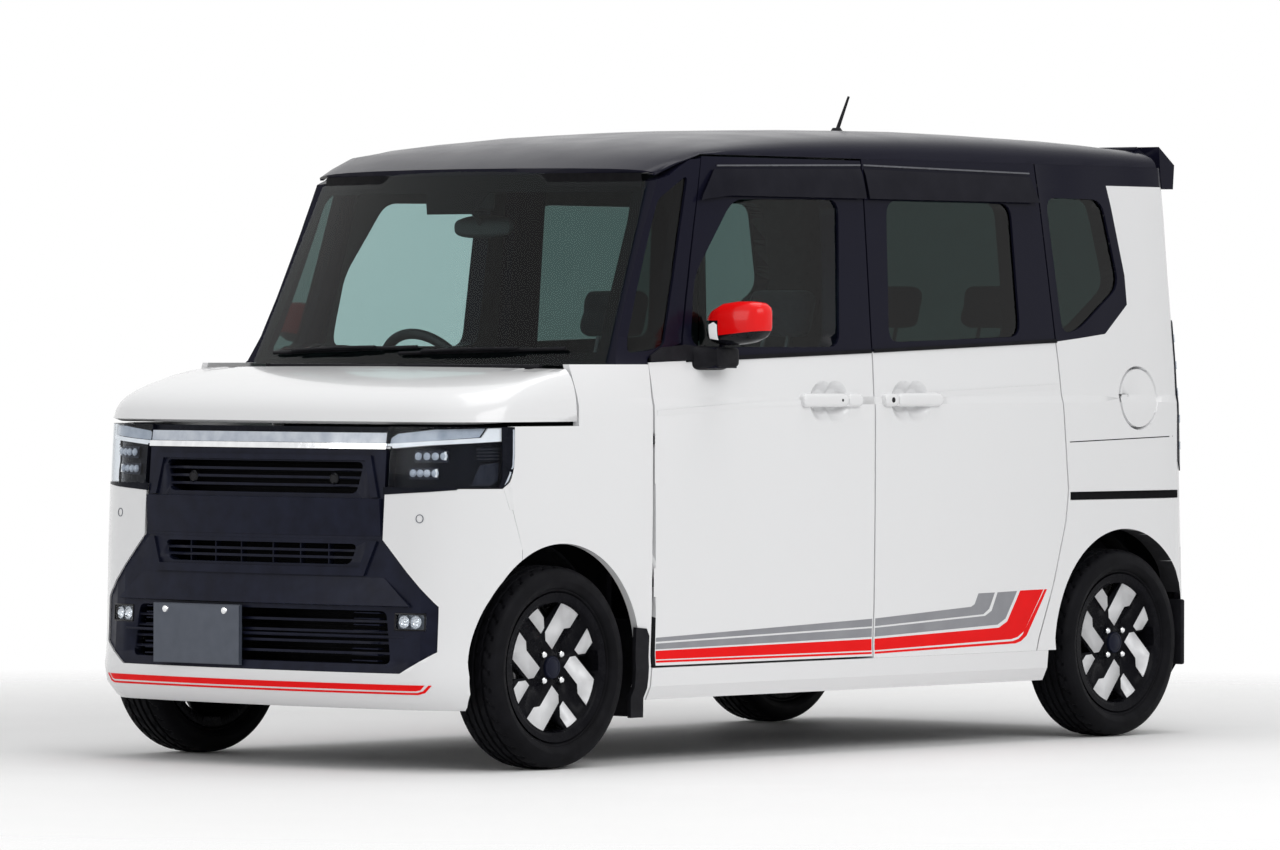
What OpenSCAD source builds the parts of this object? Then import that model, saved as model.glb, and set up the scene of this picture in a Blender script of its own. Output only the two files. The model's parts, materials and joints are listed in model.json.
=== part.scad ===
// A kei car: a tall, boxy city car with hinged front doors, sliding rear doors,
// a lifting tailgate and bonnet, folding mirrors and steered front wheels.
// Axes: X forward, Y to the car's left, Z up. The origin is on the ground under the body's centre.

/* [Body] */
// Length over the bumpers
body_l = 3395; // [3300:5:3500]
// Width over the body sides
body_w = 1475; // [1440:5:1500]
// Height of the roof's crown above the ground
body_h = 1790; // [1760:5:1840]
// Distance between the axles as a share of the length
wheelbase_share = 0.74227; // [0.73:0.001:0.75]
// From the front axle to the front bumper as a share of the length
front_overhang_share = 0.13844; // [0.134:0.001:0.143]
// Height of the sill's underside as a share of the height
sill_z_share = 0.09944; // [0.092:0.001:0.106]
// Height of the belt line at the front door's leading edge as a share of the height
belt_front_z_share = 0.61899; // [0.609:0.001:0.626]
// Height of the belt line at the rear quarter window as a share of the height
belt_rear_z_share = 0.65698; // [0.651:0.001:0.665]
// Height of the seam between the doors and the roof as a share of the height
roof_seam_z_share = 0.94413; // [0.936:0.001:0.95]

/* [Panels] */
// Thickness of the doors and side walls
wall = 62; // [50:1:70]
// Thickness of the bonnet, bumpers and fenders
skin = 22; // [16:1:28]
// Thickness of the roof panel with its lining
roof_t = 24; // [18:1:30]
// Thickness of the glass
glass_t = 5; // [4:0.5:6]
// Shut line round each opening panel
shut = 6; // [5:0.5:8]

/* [Wheels] */
// Outer radius of the tyres
tyre_r = 278; // [270:1:285]
// Width of the tyres
tyre_w = 165; // [155:1:175]
// Radius of the rim's bead seat
rim_r = 190; // [185:1:192]
// Distance between the middles of the two tyres of one axle as a share of the width
track_share = 0.87458; // [0.868:0.001:0.877]
// Radius of the wheel arches
arch_r = 328; // [322:1:335]
// Radius of the stub axles
spindle_r = 18; // [14:1:22]

/* [Doors] */
// From the front axle back to the front door's leading edge as a share of the wheelbase
door_setback_share = 0.15; // [0.145:0.001:0.155]
// Length of the front door as a share of the wheelbase
front_door_l_share = 0.38175; // [0.373:0.001:0.389]
// From the front axle back to the sliding door's rear edge as a share of the wheelbase
slide_end_share = 0.88611; // [0.881:0.001:0.891]
// Height of the doors' lower edge as a share of the height
door_z_share = 0.15196; // [0.146:0.001:0.159]

/* [Cabin] */
// Height of the cabin floor's upper face as a share of the height
floor_z_share = 0.1676; // [0.162:0.001:0.179]
// Radius of the steering wheel's rim
steer_r = 182; // [170:1:190]

/* [Hidden] */
$fn = 48;
// Clearance between pieces that stand on one another
seat = 0.3;
// Running clearance of turning pieces
fit = 0.05;
// Overrun of cuts
over = 20;
// Length of a hinge pin held at each end
pin_grip = 4;
wheelbase = wheelbase_share * body_l;
front_overhang = front_overhang_share * body_l;
sill_z = sill_z_share * body_h;
belt_front_z = belt_front_z_share * body_h;
belt_rear_z = belt_rear_z_share * body_h;
roof_seam_z = roof_seam_z_share * body_h;
track = track_share * body_w;
door_setback = door_setback_share * wheelbase;
front_door_l = front_door_l_share * wheelbase;
door_z = door_z_share * body_h;
floor_z = floor_z_share * body_h;
half_l = body_l / 2;
half_w = body_w / 2;
axle_f = half_l - front_overhang;
axle_r = axle_f - wheelbase;
hub_z = tyre_r;
hub_y = track / 2;
arch_rise = 10;
arch_z = hub_z + arch_rise;
x_a = axle_f - door_setback;
x_b = x_a - front_door_l;
x_c = axle_f - slide_end_share * wheelbase;

// Plan of the body: bowed ends, round corners, straight sides
front_bow_a = 9;
rear_bow_a = 4;
front_corner_r = 235;
rear_corner_r = 150;
front_bow_r = (half_w - front_corner_r * (1 - sin(front_bow_a))) / sin(front_bow_a);
rear_bow_r = (half_w - rear_corner_r * (1 - sin(rear_bow_a))) / sin(rear_bow_a);
x_side_f = half_l - front_bow_r * (1 - cos(front_bow_a)) - front_corner_r * cos(front_bow_a);
x_side_r = -half_l + rear_bow_r * (1 - cos(rear_bow_a)) + rear_corner_r * cos(rear_bow_a);
side_bow = 8;

// Insets of side, nose and tail: heights as shares of body_h, insets as shares of half_w
side_shares = [[0.084, 0.061], [0.0994, 0.038], [0.12, 0.0136], [0.1464, 0.0068], [0.1676, 0.0108],
  [0.2346, 0.0041], [0.3911, 0], [0.5363, 0], [0.5531, 0.0014], [0.5654, 0.0081], [0.62, 0.0149],
  [0.6592, 0.0231], [0.7821, 0.0447], [0.8715, 0.061], [0.9441, 0.0786], [0.9665, 0.1017], [1, 0.19]];
nose_shares = [[0.084, 0.122], [0.094, 0.0746], [0.109, 0.019], [0.134, 0.0027], [0.151, 0],
  [0.1676, 0.0081], [0.2458, 0.019], [0.3128, 0.0244], [0.352, 0.0298], [0.4246, 0.0407],
  [0.486, 0.0515], [0.523, 0.0651], [0.56, 0.085]];
tail_shares = [[0.084, 0.095], [0.106, 0.034], [0.134, 0.0054], [0.2235, 0], [0.3017, 0.0054],
  [0.324, 0.0244], [0.4469, 0.0434], [0.6927, 0.1017], [0.8939, 0.2034], [0.95, 0.2414]];
level_shares = [0.0994, 0.12, 0.1464, 0.1676, 0.2346, 0.3128, 0.3911, 0.4581, 0.5363, 0.5531, 0.5654,
  0.62, 0.6592, 0.72, 0.7821, 0.8268, 0.8715, 0.9078, 0.9441];
taper_foot = 35;
taper_head = 135;
taper_x0 = axle_f - 2.116 * door_setback;
taper_x1 = axle_f - 0.635 * door_setback;

function mix(a, b, t) = a + (b - a) * t;
function clamp(t) = max(0, min(1, t));
function smooth(t) = let(c = clamp(t)) c * c * (3 - 2 * c);
function unit(v) = v / norm(v);
function belt_z(x) = mix(belt_front_z, belt_rear_z, (x_a - x) / (x_a - x_c + (x_b - x_c) / 9));
function plan(t) =
  t < 0 ? let(p = plan(-t)) [p[0], -p[1], -p[2]] :
  t > 5 ? let(p = plan(10 - t)) [p[0], -p[1], 360 - p[2]] :
  t < 1 ? let(a = front_bow_a * t) [half_l - front_bow_r * (1 - cos(a)), front_bow_r * sin(a), a] :
  t < 2 ? let(a = mix(front_bow_a, 90, t - 1))
    [x_side_f + front_corner_r * cos(a), half_w - front_corner_r * (1 - sin(a)), a] :
  t < 3 ? [mix(x_side_f, x_side_r, t - 2), half_w, 90] :
  t < 4 ? let(a = mix(90, 180 - rear_bow_a, t - 3))
    [x_side_r + rear_corner_r * cos(a), half_w - rear_corner_r * (1 - sin(a)), a] :
  let(a = rear_bow_a * (5 - t)) [-half_l + rear_bow_r * (1 - cos(a)), rear_bow_r * sin(a), 180 - a];
function t_x(x) = 2 + (x_side_f - x) / (x_side_f - x_side_r);
function t_y(y) = asin(y / front_bow_r) / front_bow_a;
function taper(x, z) = let(k = clamp((x - taper_x0) / (taper_x1 - taper_x0)), b = belt_z(x))
  k * k * mix(taper_foot, taper_head,
      clamp((z - b) / (roof_seam_z - b))) * smooth((z - b) / taper_foot + 0.5);
function inset(t, z) = let(q = abs(t > 5 ? 10 - t : t), s = z / body_h, x = plan(q)[0],
    f = 1 - smooth(q - 1), r = smooth(q - 3), k = (x - (x_a + x_c) / 2) / (x_side_f - x_side_r) * 2)
  f * half_w * lookup(s, nose_shares) + r * half_w * lookup(s, tail_shares)
  + (1 - f - r) * (half_w * lookup(s, side_shares) + side_bow * k * k) + (q < 3 ? taper(x, z) : 0);
function body(t, z, d = 0) = let(p = plan(t), i = inset(t, z) + d)
  [p[0] - cos(p[2]) * i, p[1] - sin(p[2]) * i, z];

// Knots of the surface between two places, ends included
t_knots = concat([for (i = [-16:-8]) i / 8], [for (i = [-3:3]) i / 4], [for (i = [8:16]) i / 8],
  [for (i = [1:24]) 2 + i / 25], [for (i = [24:32]) i / 8], [for (i = [17:23]) i / 4],
      [for (i = [48:56]) i / 8]);
function between(list, a, b, m) = concat([a], [for (k = list) if (k > a + m && k < b - m) k], [b]);
function sheet(t0, t1, z0, z1, d = 0) = [for (t = between(t_knots, t0, t1, 0.012))
  [for (s = between(level_shares, z0 / body_h, z1 / body_h, 0.004)) body(t, s * body_h, d)]];
function normal(g, i, j) = let(m = len(g) - 1, n = len(g[0]) - 1,
    u = g[min(i + 1, m)][j] - g[max(i - 1, 0)][j], v = g[i][min(j + 1, n)] - g[i][max(j - 1, 0)])
  unit(cross(u, v));
function flat(g) = [for (row = g) each row];

// Closed plate between a grid of outer points and a grid of inner ones
module plate(g, inner) {
  m = len(g);
  n = len(g[0]);
  k = m * n;
  skin_f = [for (i = [0:m - 2]) for (j = [0:n - 2]) let(a = i * n + j, b = a + n)
    each [[a, b + 1, b], [a, a + 1, b + 1], [k + a, k + b, k + b + 1], [k + a, k + b + 1, k + a + 1]]];
  ends_f = [for (j = [0:n - 2]) let(b = (m - 1) * n + j)
    each [[j, k + j, k + j + 1], [j, k + j + 1, j + 1], [b, b + 1, k + b + 1], [b, k + b + 1, k + b]]];
  edge_f = [for (i = [0:m - 2]) let(a = i * n, b = a + n, c = a + n - 1, e = c + n)
    each [[a, b, k + b], [a, k + b, k + a], [c, k + e, e], [c, k + c, k + e]]];
  polyhedron(concat(flat(g), flat(inner)), concat(skin_f, ends_f, edge_f));
}
// Plate thickened inward along its own normals
module slab(g, t) {
  plate(g, [for (i = [0:len(g) - 1]) [for (j = [0:len(g[0]) - 1]) g[i][j] - normal(g, i, j) * t]]);
}
// Piece of the body's wall between two places and two heights
module panel(t0, t1, z0, z1, t, d = 0) {
  plate(sheet(t0, t1, z0, z1, d), sheet(t0, t1, z0, z1, d + t));
}

// Outline with each corner eased by a curve
corner_steps = 4;
function eased(p, r) = let(n = len(p)) [for (i = [0:n - 1])
  let(a = p[(i + n - 1) % n] - p[i], b = p[(i + 1) % n] - p[i], e = min(r, norm(a) / 2.1, norm(b) / 2.1),
    q0 = p[i] + unit(a) * e, q2 = p[i] + unit(b) * e)
  for (k = [0:corner_steps]) let(t = k / corner_steps)
    q0 * (1 - t) * (1 - t) + p[i] * 2 * t * (1 - t) + q2 * t * t];
// Prism over an outline in the side view, on the car's left
module side_prism(p, r = 0, y0 = half_w / 3, y1 = half_w * 1.4) {
  translate([0, y1, 0]) rotate([90, 0, 0]) linear_extrude(y1 - y0) polygon(r > 0 ? eased(p, r) : p);
}
// Prism over an outline in the front view
module front_prism(p, r = 0, x0 = axle_f, x1 = half_l + over) {
  translate([x0, 0, 0]) rotate([90, 0, 90]) linear_extrude(x1 - x0) polygon(r > 0 ? eased(p, r) : p);
}
module both() {
  children();
  mirror([0, 1, 0]) children();
}
module block(x0, x1, y0, y1, z0, z1) {
  translate([x0, y0, z0]) cube([x1 - x0, y1 - y0, z1 - z0]);
}
module rod_y(x, z, r, y0, y1) {
  translate([x, y0, z]) rotate([-90, 0, 0]) cylinder(h = y1 - y0, r = r);
}
module rod_z(x, y, r, z0, z1) {
  translate([x, y, z0]) cylinder(h = z1 - z0, r = r);
}
function mirrored(p) = concat(p, [for (i = [len(p) - 1:-1:0]) [-p[i][0], p[i][1]]]);

// Colours
white = [0.93, 0.94, 0.95];
black = [0.03, 0.035, 0.05];
trim = [0.08, 0.08, 0.09];
red = [0.7, 0.03, 0.06];
clear = [0.5, 0.6, 0.6, 0.5];
dark = [0.1, 0.1, 0.12, 0.8];
steel = [0.45, 0.46, 0.48];
cloth = [0.14, 0.15, 0.2];

// Heights and places that several pieces share
sill_top = door_z - shut;
bumper_z = 0.09385 * body_h;
lamp_z0 = 0.42905 * body_h;
lamp_z1 = 0.52291 * body_h;
bar_z0 = 0.48715 * body_h;
bar_z1 = lamp_z1 - seat;
bar_y = 0.28814 * body_w;
grille_y = 0.30508 * body_w;
flare_y = 0.42169 * body_w;
flare_z = 0.2514 * body_h;
waist_z = 0.35084 * body_h;
fascia_z = 0.14972 * body_h;
lamp_y = grille_y + over / 5;
seam_x0 = axle_f + 0.06539 * body_l;
seam_x1 = axle_f + 0.04713 * body_l;
seam_mid_z = 0.3352 * body_h;
bonnet_side_x = axle_f - 0.01944 * body_l;
rear_bumper_z = 0.31061 * body_h;
tail_z0 = 0.43575 * body_h;
tail_z1 = 0.69274 * body_h;
glass_d = 7;
window_r = 45;
pillar_t = 44;
inner_d = wall + shut + over / 20;

// Windscreen: foot and head curves
screen_foot_x = axle_f - 0.04566 * body_l;
screen_head_x = axle_f - 0.11546 * body_l;
screen_bow = 90;
screen_foot_y = 0.45288 * body_w;
screen_head_y = 0.41695 * body_w;
screen_foot_z = 0.61453 * body_h;
screen_head_z = 0.91844 * body_h;
screen_drop = 32;
function screen(u, s) = mix([screen_foot_x - screen_bow * s * s, screen_foot_y * s, screen_foot_z],
  [screen_head_x - screen_bow * s * s, screen_head_y * s, screen_head_z - screen_drop * s * s], u);
module windscreen() {
  color(clear) slab([for (u = [0:4]) [for (s = [-8:8]) screen(u / 4, -s / 8)]], glass_t);
}

// Outlines of the side: distance behind the front axle as a share of wheelbase, height as a share of body_h
function side_points(shares) = [for (p = shares) [axle_f - p[0] * wheelbase, p[1] * body_h]];
// Points between two upright lines of the side: place between them, and height as a share of body_h
function span_points(shares, x0, x1) = [for (p = shares) [mix(x0, x1, p[0]), p[1] * body_h]];
front_window_shares = [[0.1849, 0.6436], [0.2224, 0.7553], [0.3992, 0.8749], [0.8815, 0.8782],
    [0.8503, 0.6436]];
slide_window_shares = [[0.0896, 0.6514], [0.1141, 0.8782], [0.7615, 0.8782], [0.777, 0.6615]];
front_window = span_points(front_window_shares, x_a, x_b);
slide_window = span_points(slide_window_shares, x_b, x_c);
quarter_window_shares = [[0.8873, 0.6659], [0.869, 0.8894], [0.977, 0.8883], [1.0024, 0.7458],
    [0.919, 0.6726]];
corner_window_shares = [[0.121, 0.6335], [0.192, 0.8726], [0.237, 0.912], [0.2032, 0.7486],
    [0.18, 0.6464], [0.162, 0.639]];
sash_shares = [[0.2083, 0.6469], [0.2595, 0.9441]];
slide_rear_shares = [[0.852, 0.9441], [0.873, 0.6547], [0.8905, 0.4106], [0.8857, 0.3575],
    [0.8651, 0.2626], [0.8333, 0.1488]];

door_points = concat([[x_a - 2.33 * shut, door_z], [x_a, belt_front_z]], side_points(sash_shares),
  [[x_b + shut / 2, roof_seam_z], [x_b + shut / 2, door_z]]);
rear_line = side_points(slide_rear_shares);
slide_points = concat([[x_b - shut / 2, roof_seam_z], [x_b - shut / 2, sill_top]],
  [for (i = [len(rear_line) - 1:-1:0]) [rear_line[i][0] + shut / 2, rear_line[i][1]]]);
quarter_points = concat([for (p = rear_line) [p[0] - shut / 2, p[1]]],
  [[-half_l - over, rear_line[5][1]], [-half_l - over, roof_seam_z]]);

// Hinges: an eye on the body and a pin on the panel
pin_r = 4;
eye_r = 9;
eye_w = 24;
pocket = eye_w + 2 * shut;
door_axis_x = x_a - 0.65 * over;
door_axis_y = half_w - 0.75 * over;
door_hinge_shares = [0.28, 0.5];
// Eye on a bar that runs from the axis along +X, both centred on the axis at the origin
module eye(l, r = eye_r, w = eye_w, p = pin_r) {
  difference() {
    union() {
      translate([0, 0, -w / 2]) cylinder(h = w, r = r);
      translate([0, -r * 0.8, -w / 2]) cube([l, r * 1.6, w]);
    }
    translate([0, 0, -w]) cylinder(h = 2 * w, r = p + fit);
  }
}

roof_rear_x = -half_l + 0.05243 * body_l;
roof_header_z = 0.92291 * body_h;
roof_fall = 62;
roof_fall_l = 140;
roof_bow = 88;
roof_cross_shares = [[1, 0], [0.992, 0.22], [0.972, 0.42], [0.935, 0.58], [0.87, 0.72], [0.76, 0.83],
  [0.58, 0.92], [0.3, 0.98], [0, 1]];
roof_line_shares = [[0, 0], [0.05, 0.3], [0.12, 0.56], [0.22, 0.77], [0.34, 0.9], [0.5, 0.98], [0.62, 1],
  [0.8, 0.95], [0.92, 0.86], [1, 0.77]];
roof_knot_shares = [0, 0.03, 0.07, 0.12, 0.18, 0.26, 0.36, 0.48, 0.6, 0.72, 0.84, 0.93, 1];
roof_x0 = axle_f - 0.14433 * body_l;
function roof_edge_z(x) = roof_seam_z - roof_fall * smooth((x - roof_x0 + roof_fall_l) / roof_fall_l);
function roof_point(u, i, side, t = 0) = let(q = roof_cross_shares[i], y = q[0] * side,
    x = mix(roof_x0 + roof_bow * (1 - y * y), roof_rear_x, u), xe = mix(roof_x0, roof_rear_x, u),
    e = roof_edge_z(xe), top = mix(roof_header_z, body_h, lookup(u, roof_line_shares)), w = q[1] * q[1])
  [x, body(t_x(xe), e)[1] * y - t * side * (1 - w), e + q[1] * (top - e) - t * w];
function roof_row(u, t) = concat([for (i = [0:8]) roof_point(u, i, 1, t)],
    [for (i = [7:-1:0]) roof_point(u, i, -1, t)]);
// The panel's corners at the rear follow the plan of the body
module roof() {
  edge = [for (t = between(t_knots, 2.1, 4, 0.01)) let(p = body(t, roof_seam_z)) [p[0], p[1]]];
  nose = [[roof_x0 + 3 * roof_bow, 0], [roof_x0 + 3 * roof_bow, half_w]];
  color(black) {
    intersection() {
      plate([for (u = roof_knot_shares) roof_row(u, 0)], [for (u = roof_knot_shares) roof_row(u, roof_t)]);
      translate([0, 0, roof_seam_z / 2]) linear_extrude(body_h)
        polygon(concat(nose, edge, [for (i = [len(edge) - 1:-1:0]) [edge[i][0], -edge[i][1]]],
          [[nose[1][0], -nose[1][1]]]));
    }
    both() translate([gate_x, gate_hinge_y, gate_z]) rotate([90, 0, 0]) eye(eye_l);
  }
}
gate_x = roof_rear_x - 0.75 * over;
gate_hinge_y = 0.29153 * body_w;
gate_z = mix(roof_header_z, body_h, 0.77) - 0.7 * over;
eye_l = 40;

// Front corner frame between windscreen and door, hinge post and centre post
corner_x0 = axle_f - 0.07452 * body_l;
corner_x1 = axle_f - 0.1944 * body_l;
corner_head_x = axle_f - 0.14433 * body_l;
frame_foot_z = 0.61676 * body_h;
post_x0 = x_a - 0.01001 * body_l;
post_l = 90;
post_w = 130;
post_foot = sill_top + seat;
module pillars() {
  sash = side_points(sash_shares);
  color(black) both() {
    difference() {
      intersection() {
        panel(t_x(corner_x0 + 3 * over), t_x(corner_x1 - over), frame_foot_z - over, roof_seam_z + over,
            pillar_t);
        side_prism(concat([[corner_x0, frame_foot_z],
            [corner_head_x, roof_edge_z(corner_head_x) - 2 * shut]],
          [for (k = [1:4]) let(x = mix(corner_head_x, sash[1][0] + shut, k / 4)) [x,
              roof_edge_z(x) - 2 * shut]],
          [[sash[0][0] + shut, sash[0][1] + shut], [x_a, belt_front_z + 2 * shut],
              [x_a + shut, frame_foot_z]]));
      }
      side_prism(side_points(corner_window_shares), window_r / 2);
    }
    panel(t_x(x_b + post_w / 2), t_x(x_b - post_w / 2), post_foot, roof_seam_z - over, pillar_t, inner_d);
    panel(t_x(post_x0), t_x(post_x0 - post_l), post_foot, belt_front_z - over, pillar_t, inner_d);
    for (s = door_hinge_shares) translate([door_axis_x, door_axis_y, s * body_h]) rotate([0, 0,
        -90]) eye(wall + 2 * over);
  }
}

module fenders() {
  color(white) both() difference() {
    intersection() {
      panel(t_x(seam_x0 + over), t_x(x_a), sill_z, frame_foot_z - seat, skin);
      side_prism([[x_a + shut, sill_z - over], [seam_x1, sill_z - over], [seam_x1, seam_mid_z],
          [seam_x0, lamp_z0],
        [seam_x0, lamp_z1], [bonnet_side_x, lamp_z1], [bonnet_side_x, frame_foot_z],
            [x_a + shut, frame_foot_z]]);
    }
    rod_y(axle_f, arch_z, arch_r, 0, body_w);
  }
}

fascia_points = mirrored([[grille_y, bar_z1 + over], [grille_y, waist_z], [flare_y, flare_z],
    [flare_y, fascia_z + 3 * over],
  [flare_y - 5 * over, fascia_z]]);
module front_bumper() {
  t1 = t_x(seam_x0 - 3 * over);
  color(white) difference() {
    panel(-t1, t1, bumper_z, lamp_z0 - seat, skin);
    front_prism(fascia_points);
    both() side_prism([[seam_x0 + seat, lamp_z0 + over], [seam_x0 + seat, lamp_z0],
        [seam_x1 + seat, seam_mid_z],
      [seam_x1 + seat, bumper_z - over], [0, bumper_z - over], [0, lamp_z0 + over]]);
    both() rod_y(axle_f, arch_z, arch_r, 0, body_w);
  }
}

// Upper grille: a gloss panel with one slot and its slats
slot_y = 0.2522 * body_w;
slot_z0 = 0.42011 * body_h;
slot_z1 = 0.46816 * body_h;
grille_t = 30;
slat_t = 16;
slat_h = 7;
fascia_d = 6;
module bars(y, z0, z1, n, d) {
  for (i = [1:n]) let(z = mix(z0, z1, i / (n + 1)))
    slab([for (t = [-3:3]) [for (h = [-slat_h / 2, slat_h / 2]) body(t_y(y) * t / 3, z + h, d)]], slat_t);
}
module upper_grille() {
  t1 = t_y(grille_y - seat);
  color(black) {
    difference() {
      panel(-t1, t1, waist_z + seat, bar_z0 - seat, grille_t, fascia_d);
      front_prism(mirrored([[slot_y, slot_z1], [slot_y - over, slot_z0]]), over);
    }
    bars(slot_y + over, slot_z0, slot_z1, 3, fascia_d + 8 * seat * 4);
  }
}

// Lower grille: flared panel with the narrow slot, the wide opening and its slats
low_slot_y = 0.24542 * body_w;
low_slot_z0 = 0.31285 * body_h;
low_slot_z1 = 0.34413 * body_h;
mouth_y = 0.39661 * body_w;
mouth_z0 = 0.16313 * body_h;
mouth_z1 = 0.24358 * body_h;
fog_y = 0.3661 * body_w;
fog_z = 0.22793 * body_h;
fog_r = 24;
module lower_grille() {
  color(black) {
    difference() {
      intersection() {
        panel(-1.5, 1.5, fascia_z - over, waist_z, grille_t, fascia_d);
        front_prism(mirrored([[grille_y - seat, waist_z], [flare_y - seat, flare_z],
            [flare_y - seat, fascia_z + 3 * over],
          [flare_y - 5 * over, fascia_z + seat]]));
      }
      front_prism(mirrored([[low_slot_y, low_slot_z1], [low_slot_y - over, low_slot_z0]]), over);
      front_prism(mirrored([[mouth_y - 6 * over, mouth_z1], [mouth_y - 5 * over, mouth_z0]]), over);
      both() front_prism([[fog_y - fog_r * 2, fog_z - fog_r], [fog_y + fog_r * 2, fog_z - fog_r],
        [fog_y + fog_r * 2, fog_z + fog_r], [fog_y - fog_r * 2, fog_z + fog_r]]);
    }
    bars(low_slot_y + over, low_slot_z0, low_slot_z1, 2, fascia_d * 2);
    bars(mouth_y - 4.7 * over, mouth_z0, mouth_z1, 4, fascia_d * 2);
  }
}

module front_lamps() {
  t0 = t_y(lamp_y);
  tb = t_y(bar_y);
  tf = fog_r * 2 - seat;
  color(clear) {
    both() difference() {
      panel(t0, 2.1, lamp_z0, lamp_z1 - seat, wall, fascia_d / 3);
      block(0, seam_x0 + seat, 0, body_w, 0, body_h);
    }
    panel(-t0 + 0.001, t0 - 0.001, bar_z0, bar_z1, skin, fascia_d / 3);
    both() intersection() {
      panel(0.6, 1.4, fog_z - fog_r + seat, fog_z + fog_r - seat, grille_t, fascia_d);
      front_prism([[fog_y - tf, 0], [fog_y + tf, 0], [fog_y + tf, lamp_z1], [fog_y - tf, lamp_z1]]);
    }
  }
}

plate_w = 330;
plate_h = 165;
plate_y = -0.13356 * body_w;
plate_z = 0.20112 * body_h;
plate_t = 8;
module number_plate() {
  z1 = mix(mouth_z0, mouth_z1, 0.2);
  back = body(t_y(-plate_y - 2 * over), z1, fascia_d * 2)[0] + seat;
  x = body(0, z1)[0];
  color(trim) {
    block(x, x + plate_t, plate_y - plate_w / 2, plate_y + plate_w / 2, plate_z - plate_h / 2,
        plate_z + plate_h / 2);
    block(back, x + plate_t / 2, plate_y - 2 * over, plate_y + 2 * over, z1 - slat_h, mouth_z1 - 2 * over);
  }
}

// Bonnet: lines fan from the edge over nose and sides to the cowl
bonnet_edge_z = lamp_z1 + 2 * shut;
cowl_x = axle_f - 0.01414 * body_l;
cowl_bow = 10;
cowl_z = 0.61229 * body_h;
cowl_y = 0.4678 * body_w;
bonnet_rise_shares = [[0, 0], [0.02, 0.17], [0.05, 0.3], [0.1, 0.43], [0.18, 0.55], [0.3, 0.68],
    [0.5, 0.82],
  [0.75, 0.93], [1, 1]];
bonnet_end = t_x(bonnet_side_x + shut);
function bonnet_point(t, v) = let(k = t / bonnet_end,
    e = body(t, bonnet_edge_z),
    c = [cowl_x - cowl_bow * k * k, cowl_y * sign(k) * pow(abs(k), 1.15), cowl_z - cowl_bow * k * k / 2])
  [mix(e[0], c[0], v), mix(e[1], c[1], v), mix(e[2], c[2], lookup(v, bonnet_rise_shares))];
bonnet_pin_x = bonnet_side_x + 3 * shut;
bonnet_pin_y = 0.37966 * body_w;
bonnet_pin_z = 0.60447 * body_h;
module bonnet() {
  color(white) {
    difference() {
      slab([for (t = between(t_knots, -bonnet_end, bonnet_end, 0.01))
        [for (r = bonnet_rise_shares) bonnet_point(t, r[0])]], skin);
      block(0, bonnet_side_x + 1.4 * shut, -half_w, half_w, 0, body_h);
      both() block(bonnet_pin_x - 2 * over, bonnet_pin_x + eye_r + shut, bonnet_pin_y - pocket / 2,
          bonnet_pin_y + pocket / 2,
        bonnet_pin_z - 3 * over, bonnet_pin_z + 3 * over);
    }
    both() rod_y(bonnet_pin_x, bonnet_pin_z, pin_r, bonnet_pin_y - pocket / 2 - pin_grip,
        bonnet_pin_y + pocket / 2 + pin_grip);
  }
}

// Front door: the whole wall with its window cut, a grip, a mirror foot and two hinge pins
handle_z = 0.55978 * body_h;
handle_l = 250;
handle_h = 34;
handle_d = 22;
handle_x = x_b + 0.02209 * body_l;
mirror_x = axle_f - 0.18439 * body_l;
mirror_y = half_w + 1.5 * over;
mirror_z = 0.64581 * body_h;
mirror_foot_h = 48;
mirror_foot_l = 90;
module door_left() {
  hz = [for (s = door_hinge_shares) s * body_h];
  difference() {
    intersection() {
      panel(t_x(x_a + over), t_x(x_b), door_z, roof_seam_z - shut, wall);
      side_prism(door_points);
    }
    side_prism(front_window, window_r);
    for (z = hz) block(door_axis_x - eye_r - shut, x_a + over, half_w / 2,
        door_axis_y + eye_r + over / 20, z - pocket / 2, z + pocket / 2);
    grip_pocket(handle_x + handle_l / 2);
  }
  for (z = hz) rod_z(door_axis_x, door_axis_y, pin_r, z - pocket / 2 - pin_grip, z + pocket / 2 + pin_grip);
  grip(handle_x);
  block(mirror_x - mirror_foot_l / 2, mirror_x + mirror_foot_l / 2, half_w - 2 * handle_d,
      mirror_y + pin_r * 4,
    mirror_z - 1.3 * mirror_foot_h, mirror_z - 0.8 * mirror_foot_h);
  block(mirror_x - mirror_foot_l / 2, mirror_x + mirror_foot_l / 2, half_w - 2 * shut, mirror_y + pin_r * 4,
    mirror_z - mirror_foot_h, mirror_z - shut);
  rod_z(mirror_x, mirror_y, pin_r * 2, mirror_z - 2 * shut, mirror_z + mirror_pin_h);
}
mirror_pin_h = 40;
// Grip across a shallow dish in the door, which two round hollows make
dish_r = 62;
module grip_pocket(x) {
  for (s = [-1, 1]) translate([x + s * dish_r * 0.45, body(t_x(x), handle_z)[1], handle_z]) rotate([-90, 0, 0])
    rotate_extrude() polygon([[0, -handle_d], [dish_r * 0.5, -handle_d], [dish_r * 1.3, handle_d * 0.6],
      [0, handle_d * 0.6]]);
}
module grip(x) {
  y = body(t_x(x), handle_z)[1];
  block(x, x + handle_l, y - handle_d / 3, y + handle_d / 2, handle_z - handle_h / 2,
      handle_z + handle_h / 2);
  block(x, x + handle_l / 8, y - handle_d * 1.4, y, handle_z - handle_h / 2, handle_z + handle_h / 2);
  block(x + handle_l * 7 / 8, x + handle_l, y - handle_d * 1.4, y, handle_z - handle_h / 2,
      handle_z + handle_h / 2);
}
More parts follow.
